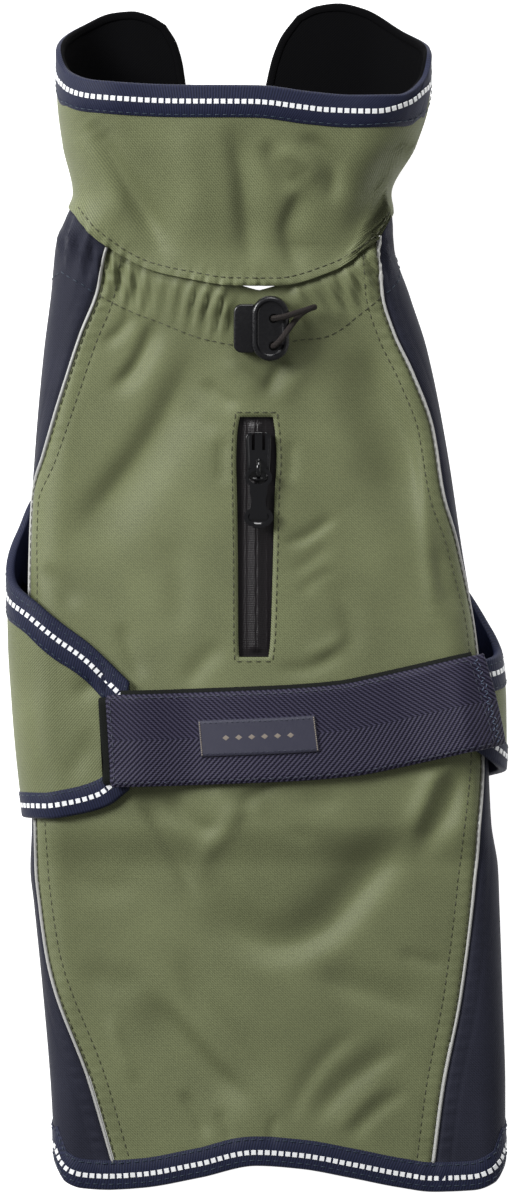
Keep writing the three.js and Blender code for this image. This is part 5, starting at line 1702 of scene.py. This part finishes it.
BELT_WIDTH, BELT, BACKING, BACKING_SHOWS, LOOP = 37, 1.7, 0.8, 1.6, 1.0
BELT_START, BELT_START_Y = -59, 181.2  # the belt's fastened end, on the left wing
BELT_END, BELT_END_Y = 94.4, 198  # its sewn end, on the right wing
belt_outline = [
    ("over", [
        (BELT_START, BELT_START_Y), (-38, 181.6), (-10, 182.6), (14, 183.6), (36, 185.4), (53, 188.6),
        (70, 192.4), (84, 195.6), (BELT_END, BELT_END_Y)
    ]),
]
OFF_WING = 0.4  # the patch and the belt's end lie this far off the wings
ON_PATCH = OFF_WING + LOOP + BACKING + 3 * SEAM_GAP
ON_BACK = -BAND_RISE + BACKING + 3 * SEAM_GAP
ON_WING = OFF_WING + BACKING + 2 * SEAM_GAP
BELT_Y = 185
belt_line = band.outline(belt_outline)
belt_start = float(band.over(BELT_START, BELT_START_Y))
belt_end = float(band.over(BELT_END, BELT_END_Y))
half_belt = BELT_WIDTH / 2


def belt_low(way):
    """Height of the belt's underside: on the loop patch, on the back, on the right wing."""
    x = way + band.measures(BELT_Y)[0]
    off_patch, onto_wing = smoothstep((x + 50) / 26), smoothstep((x - 58) / 24)
    return mix(mix(ON_PATCH, ON_BACK, off_patch), ON_WING, onto_wing)


def belt_top(way):
    """Height of the belt's upper face."""
    return belt_low(way) + BELT


def belt_places(along, across):
    """Places at ways along the belt's middle line, moved across mm towards the neck."""
    turn = slope_of(belt_line, along)
    step = across / np.hypot(1, turn)
    return along - step * turn, belt_line(along) + step


def strap(name, start, end, rear, front, high, low, steps, material, corner=0.0, edge=0.35):
    """A flat strap along the belt's line, with rounded edges and corners cut off at its start."""
    face = np.r_[rear + edge, mix(rear + edge, front - edge, np.linspace(0.08, 0.92, 12)), front - edge]
    across = np.r_[rear, face, front, front - edge, rear + edge]
    layer = np.r_[0.5, np.ones(len(face)), 0.5, 0.0, 0.0]  # 0 at its foot, 1 at its top
    ends = np.array([0, 0.25, 0.6, 1.0, 1.8])
    along = np.r_[start + ends, np.linspace(start + 3, end - 3, steps), (end - ends)[::-1]]
    from_end = np.minimum(along - start, end - along)
    squash = np.sqrt(1 - np.clip(1 - from_end / 0.7, 0, 0.97) ** 2)
    cut = corner * np.clip(1 - (along - start) / max(corner, 0.01), 0, 1) ** 2
    middle, half = (rear + front) / 2, (front - rear) / 2
    spread = middle + (across[None, :] - middle) * ((half - cut) / half)[:, None]
    way, y = belt_places(along[:, None], spread)
    top, foot = high(along)[:, None], low(along)[:, None]
    height = foot + (top - foot) * (0.5 + (layer[None, :] - 0.5) * squash[:, None])
    return swept(name, band, way, y, height, [material], across)


webbing = finish_of("herringbone_webbing", (0.022, 0.020, 0.040), 0.55, specular=0.2)
web_along, web_across = uv_axes(webbing)
web_side = maths(webbing, "ABSOLUTE", web_across)
twill_lines = ribs_across(webbing, web_along, web_side, 2.1, 1.0)
picks = ribs_across(webbing, web_across, web_along, 0.8)
web_height = maths(webbing, "MULTIPLY_ADD", twill_lines, 0.75, maths(webbing, "MULTIPLY", picks, 0.25))
web_share = node(webbing, "MapRange", web_height, 0.2, 0.9, 0.0, 1.0).outputs[0]
web_colour = blend_colours(webbing, web_share, (0.004, 0.003, 0.012), (0.046, 0.042, 0.076))
paint(webbing, web_colour, web_height, 0.3 * MM)
backing_cloth = twill("backing_cloth", (0.008, 0.009, 0.008), 0.8, 0.1, 0.3)
belt = strap(
    "belt_webbing", belt_start, belt_end, -half_belt, half_belt, belt_top, belt_low, 150, webbing, 1.6
)
backing = strap(
    "belt_backing_strip",
    belt_start + 6,
    belt_end - 4,
    -half_belt + 2,
    half_belt + BACKING_SHOWS,
    lambda way: belt_low(way) - SEAM_GAP,
    lambda way: belt_low(way) - SEAM_GAP - BACKING,
    110,
    backing_cloth,
    edge=0.2,
)
patch = strap(
    "loop_patch_pile",
    belt_start - 3.2,
    float(band.over(-52.6, BELT_Y)),
    -half_belt + 1,
    half_belt - 1,
    lambda way: np.full(len(way), OFF_WING + SEAM_GAP + LOOP),
    lambda way: np.full(len(way), OFF_WING + SEAM_GAP),
    24,
    backing_cloth,
    corner=1.0,
    edge=0.3,
)


def belt_run(along, across, above):
    """A run over the belt, at ways along its middle line and mm across, above its upper face."""
    way, y = belt_places(*np.broadcast_arrays(along, across))
    return band, way, y, belt_top(way) + above


BELT_ROW = 1.6  # the belt's stitches lie this far inside its edges
ZIGZAGS, ZIGZAG_LENGTH, ZIGZAG_PITCH = 26, 1.9, 1.75
sewn_to = belt_end - 6
web_thread = finish_of("web_thread", (0.016, 0.020, 0.040), 0.6, sheen=0.2)
down_belt = np.linspace(belt_start + 1.5, sewn_to, 200)
across_belt = np.linspace(-half_belt + 1.8, half_belt - 1.8, 40)
belt_rows = [belt_run(down_belt, side * (half_belt - BELT_ROW), 0.05) for side in (-1, 1)]
belt_rows += [belt_run(at, across_belt, 0.05) for at in (belt_start + 1.7, sewn_to)]
belt_stitches = stitched("belt_stitches", belt_rows, web_thread)
turns = np.arange(ZIGZAGS)
zig = np.linspace(-half_belt + BELT_ROW, half_belt - BELT_ROW, ZIGZAGS)
zig_way, zig_y = belt_places(sewn_to + 2.2 + np.where(turns % 2, 1.0, -1.0), zig)
zigzag_line = np.linspace(0, ZIGZAGS - 1, ZIGZAGS * 8)
zig_way, zig_y = (np.interp(zigzag_line, turns, values) for values in (zig_way, zig_y))
zigzag_row = (band, zig_way, zig_y, belt_top(zig_way) + 0.08)
blue_thread = finish_of("blue_thread", (0.050, 0.075, 0.130), 0.55, sheen=0.3)
zigzag_stitch = spindle(ZIGZAG_LENGTH, THREAD)
belt_zigzag = sewn_along("belt_zigzag", [zigzag_row], zigzag_stitch, ZIGZAG_PITCH, blue_thread)
sew_in(belt, "belt")
sew_in(backing, "belt_backing")
sew_in(patch, "loop_patch")
for piece in (belt_stitches, belt_zigzag):
    sew_in(piece, "belt", stands_for=False)
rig.sheet(backing, flat=(0.0366, 0.147), held="laid", rests_on=[back_panel, belly_shell])


# ---- Label -----------------------------------------------------------------------------------------
# A woven navy label sewn to the middle of the belt, with tan selvedges at its two ends. It carries no
# words: only a woven row of small diamonds.

LABEL_X, LABEL_LENGTH, LABEL_WIDTH, LABEL_THICK = 0.6, 47, 14.5, 0.6
half_label = LABEL_WIDTH / 2
label_start, label_end = (
    float(band.over(LABEL_X + side * LABEL_LENGTH / 2, BELT_Y)) for side in (-1, 1)
)
woven_label = finish_of("woven_label", (0.020, 0.020, 0.040), 0.55, sheen=0.1)
label_along, label_across = uv_axes(woven_label)
label_weft = ribs_across(woven_label, label_across, label_along, 0.42)
label_warp = ribs_across(woven_label, label_along, label_across, 0.5)
woven(woven_label, label_weft, label_warp, 0.4, (0.012, 0.012, 0.028), (0.030, 0.030, 0.055), 0.06)
label = strap(
    "label_woven",
    label_start,
    label_end,
    -half_label,
    half_label,
    lambda way: belt_top(way) + SEAM_GAP + LABEL_THICK,
    lambda way: belt_top(way) + 0.05,
    60,
    woven_label,
    edge=0.3,
)


def label_run(along, across):
    """A run over the label's face."""
    return belt_run(along, across, SEAM_GAP + LABEL_THICK)


tan_thread = finish_of("tan_thread", (0.20, 0.17, 0.14), 0.6, sheen=0.2)
label_side = np.linspace(-half_label + 0.4, half_label - 0.4, 40)
end_rows = [label_run(at, label_side) for at in (label_start + 0.55, label_end - 0.55)]
label_selvedges = sewn_along("label_selvedges", end_rows, spindle(1.0, 0.5), 0.85, tan_thread)
down_label = np.linspace(label_start + 1.6, label_end - 1.6, 80)
edge_rows = [label_run(down_label, side * (half_label - 1.1)) for side in (-1, 1)]
label_stitches = sewn_along("label_stitches", edge_rows, spindle(1.5, 0.34), 2.1, web_thread)
corners = np.array([(-1.5, 0, 0), (0, -1.15, 0), (1.5, 0, 0), (0, 1.15, 0)])
diamond = low_patch(corners - (0, 0, 0.05), corners * (0.85, 0.85, 1) + (0, 0, 0.09))
mark_row = label_run(np.linspace(label_start + 8, label_end - 8, 80), 0)
label_marks = sewn_along("label_marks", [mark_row], diamond, 5.0, tan_thread, smooth=False)
sew_in(label, "label")
for piece in (label_selvedges, label_stitches, label_marks):
    sew_in(piece, "label", stands_for=False)
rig.sheet(
    belt,
    flat=(0.037, 0.159),
    held="laid",
    rests_on=[backing, patch],
    with_pieces=[belt_stitches, belt_zigzag, label, label_selvedges, label_stitches, label_marks],
)


# ---- Zip pocket ------------------------------------------------------------------------------------
# A black coil zip sewn behind the window, closed, its tape satin with the coil's ridge up the middle.
# The die-cast, lacquered slider has two throat slots at its front end and a bail on its back, which
# holds a pull with a ring and an oval thumb dip.

TAPE_MARGIN, TAPE_THICK, COIL, COIL_WIDTH = 4.5, 1.0, 1.3, 2.6
TAPE_TOP = -SHELL - SEAM_GAP
TAPE_COLUMNS, TAPE_ROWS = 96, 150
tape_satin = finish_of("zip_tape_satin", (0.008, 0.007, 0.008), 0.34, specular=0.25)
tape_along, tape_across = uv_axes(tape_satin)
coil_turns = ribs_across(tape_satin, tape_across, tape_along, 0.9)
tape_ribs = ribs_across(tape_satin, tape_along, tape_across, 0.55)
woven(tape_satin, coil_turns, tape_ribs, 0.6, (0.004, 0.003, 0.004), (0.013, 0.011, 0.012), 0.07)

tape_half = WINDOW_WIDTH / 2 + TAPE_MARGIN
tape_x = np.linspace(-tape_half, tape_half, TAPE_COLUMNS + 1)[None, :]
tape_y = np.linspace(WINDOW_REAR - TAPE_MARGIN, WINDOW_FRONT + TAPE_MARGIN, TAPE_ROWS + 1)[:, None]
tape_x, tape_y = np.broadcast_arrays(tape_x, tape_y)
in_window = smoothstep((WINDOW_FRONT - tape_y - 1) / 3) * smoothstep((tape_y - WINDOW_REAR - 1) / 3)
coil = COIL * np.exp(-((tape_x / COIL_WIDTH) ** 2)) - 0.45 * np.exp(-((tape_x / 0.3) ** 2))
coil += 0.14 * np.exp(-(((np.abs(tape_x) - 4.3) / 0.4) ** 2))
zip_tape = shell(
    "zip_tape_coil",
    coat,
    coat.over(tape_x, tape_y),
    tape_y,
    TAPE_TOP + np.maximum(coil, 0) * in_window,
    TAPE_TOP - TAPE_THICK,
    [tape_satin],
)
sew_in(zip_tape, "zip_tape")

SLIDER_WIDTH, SLIDER_LENGTH, SLIDER_THICK = 10.4, 19.4, 2.6
REAR_TAPER, SLIDER_CORNER, SLIDER_EDGE, PULL_EDGE = 0.84, 2.8, 0.55, 0.5
THROAT_WIDTH, THROAT_DEPTH, THROAT_ASIDE = 1.2, 7.2, 2.1
BAIL_WIDTH, BAIL_THICK, BAIL_HEIGHT, BAIL_LENGTH = 1.8, 1.1, 3.8, 8.4
BAIL_BACK, BAIL_SUNK = 4.9, 0.4
PULL_THICK, PULL_LENGTH, PULL_BAR, PULL_TIP, PULL_DIP = 1.4, 23.2, 1.5, 11.8, 7.4
RING_WIDTH, RING_LENGTH, SHANK_WIDTH = 10.9, 8.4, 7.0
PULL_REST = math.radians(5)
lacquer = hard_finish("black_lacquer", (0.004, 0.004, 0.005), 0.4, 0.4, 700.0, 0.08, 0.2, 0.015)
slider_place = Matrix.Translation((slider_middle.x, slider_middle.y, slider_low.z))


def oval_disc(name, width, length, thick, y):
    """An oval plate with its middle at that y, in edit mode."""
    clear_selection()
    bpy.ops.mesh.primitive_cylinder_add(vertices=44, radius=0.5, depth=1, location=(0, y * MM, 0))
    bpy.context.object.scale = (width * MM, length * MM, thick * MM)
    return start_piece(name)


slider = block("zip_slider_body", (SLIDER_WIDTH, SLIDER_LENGTH, SLIDER_THICK), (0, 0, SLIDER_THICK / 2))
pick(slider, lambda co: co.y < 0)
bpy.ops.transform.resize(value=(REAR_TAPER, 1, 1), center_override=(0, 0, 0))
round_corners(slider, SLIDER_CORNER, 8)
pick(slider, lambda co: co.z > (SLIDER_THICK - 0.05) * MM, "FACE")
for inset, rise in ((0.7, 0), (0.5, -0.3)):
    bpy.ops.mesh.inset(thickness=inset * MM, depth=rise * MM)
use_modifier(slider, "BEVEL", width=SLIDER_EDGE * MM, segments=4, limit_method="ANGLE")
clear_selection()
bail_reach = (BAIL_LENGTH - BAIL_THICK) / 2
bpy.ops.mesh.primitive_torus_add(
    major_segments=40,
    minor_segments=14,
    major_radius=bail_reach * MM,
    minor_radius=BAIL_THICK / 2 * MM,
    location=(0, -BAIL_BACK * MM, (SLIDER_THICK - BAIL_SUNK) * MM),
    rotation=(0, math.pi / 2, 0),
)
bpy.ops.object.transform_apply(location=False, rotation=True, scale=True)
bail_rise = (BAIL_HEIGHT + BAIL_SUNK - BAIL_THICK / 2) / bail_reach
bpy.context.object.scale = (BAIL_WIDTH / BAIL_THICK, 1, bail_rise)
bail = start_piece("bail")
# Only the upper half of the bail's hoop stands on the slider.
join(bail, block("below", (6, 12, 6), (0, -BAIL_BACK, SLIDER_THICK - 3.5)), "DIFFERENCE")
join(slider, bail, "UNION")
# The throat that the teeth run into is two slots from the front end, with the nose between them.
for side in (1, -1):
    slot_size = (THROAT_WIDTH, 2 * THROAT_DEPTH, 8)
    throat = block("throat", slot_size, (side * THROAT_ASIDE, SLIDER_LENGTH / 2, 2))
    join(slider, throat, "DIFFERENCE")
settle(slider, slider_place, lacquer)
sew_in(slider, "zip_slider")

ring_y = -RING_LENGTH / 2 + PULL_BAR / 2
pull = oval_disc("zip_pull_tab", RING_WIDTH, RING_LENGTH, PULL_THICK, ring_y)
ring_hole = oval_disc("ring_hole", RING_WIDTH - 2 * PULL_BAR, RING_LENGTH - 2 * PULL_BAR, 4, ring_y)
join(pull, ring_hole, "DIFFERENCE")
tab_from, tab_to = -RING_LENGTH + PULL_BAR, -PULL_LENGTH + PULL_DIP / 2
shank_y = (tab_from + tab_to) / 2
shank = block("shank", (SHANK_WIDTH, tab_from - tab_to + 1.6, PULL_THICK), (0, shank_y, 0))
bpy.ops.mesh.select_all(action="SELECT")
bpy.ops.mesh.subdivide(number_cuts=7)
for reach, narrower in ((2.4, 0.86), (1.2, 0.92)):
    pick(shank, lambda co: abs(co.y - shank_y * MM) < reach * MM)
    bpy.ops.transform.resize(value=(narrower, 1, 1), center_override=(0, 0, 0))
join(pull, shank, "UNION")
tip = oval_disc("tip", PULL_TIP, PULL_DIP + 1, PULL_THICK, tab_to)
pick(tip, lambda normal: normal.z > 0.5, "NORMAL")
for inset, rise in ((1.5, 0), (0.5, -0.45)):
    bpy.ops.mesh.inset(thickness=inset * MM, depth=rise * MM)
join(pull, tip, "UNION")
use_modifier(pull, "BEVEL", width=PULL_EDGE * MM, segments=4, limit_method="ANGLE")
hinge_height = SLIDER_THICK + (BAIL_HEIGHT - BAIL_THICK) / 2
hinge_place = slider_place @ Matrix.Translation((0, -BAIL_BACK * MM, hinge_height * MM))
settle(pull, hinge_place @ Matrix.Rotation(PULL_REST, 4, "X"), lacquer)
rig.ride(pull, "pull_tab")
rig.replaces(pull, "zip_pull")
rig.slot(pull, "zip_pull")

made_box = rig.bounds()
sizes = {"cad": [list(corner) for corner in cad_box], "visual": [list(corner) for corner in made_box]}
with open("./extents.json", "w") as size_file:
    json.dump(sizes, size_file)
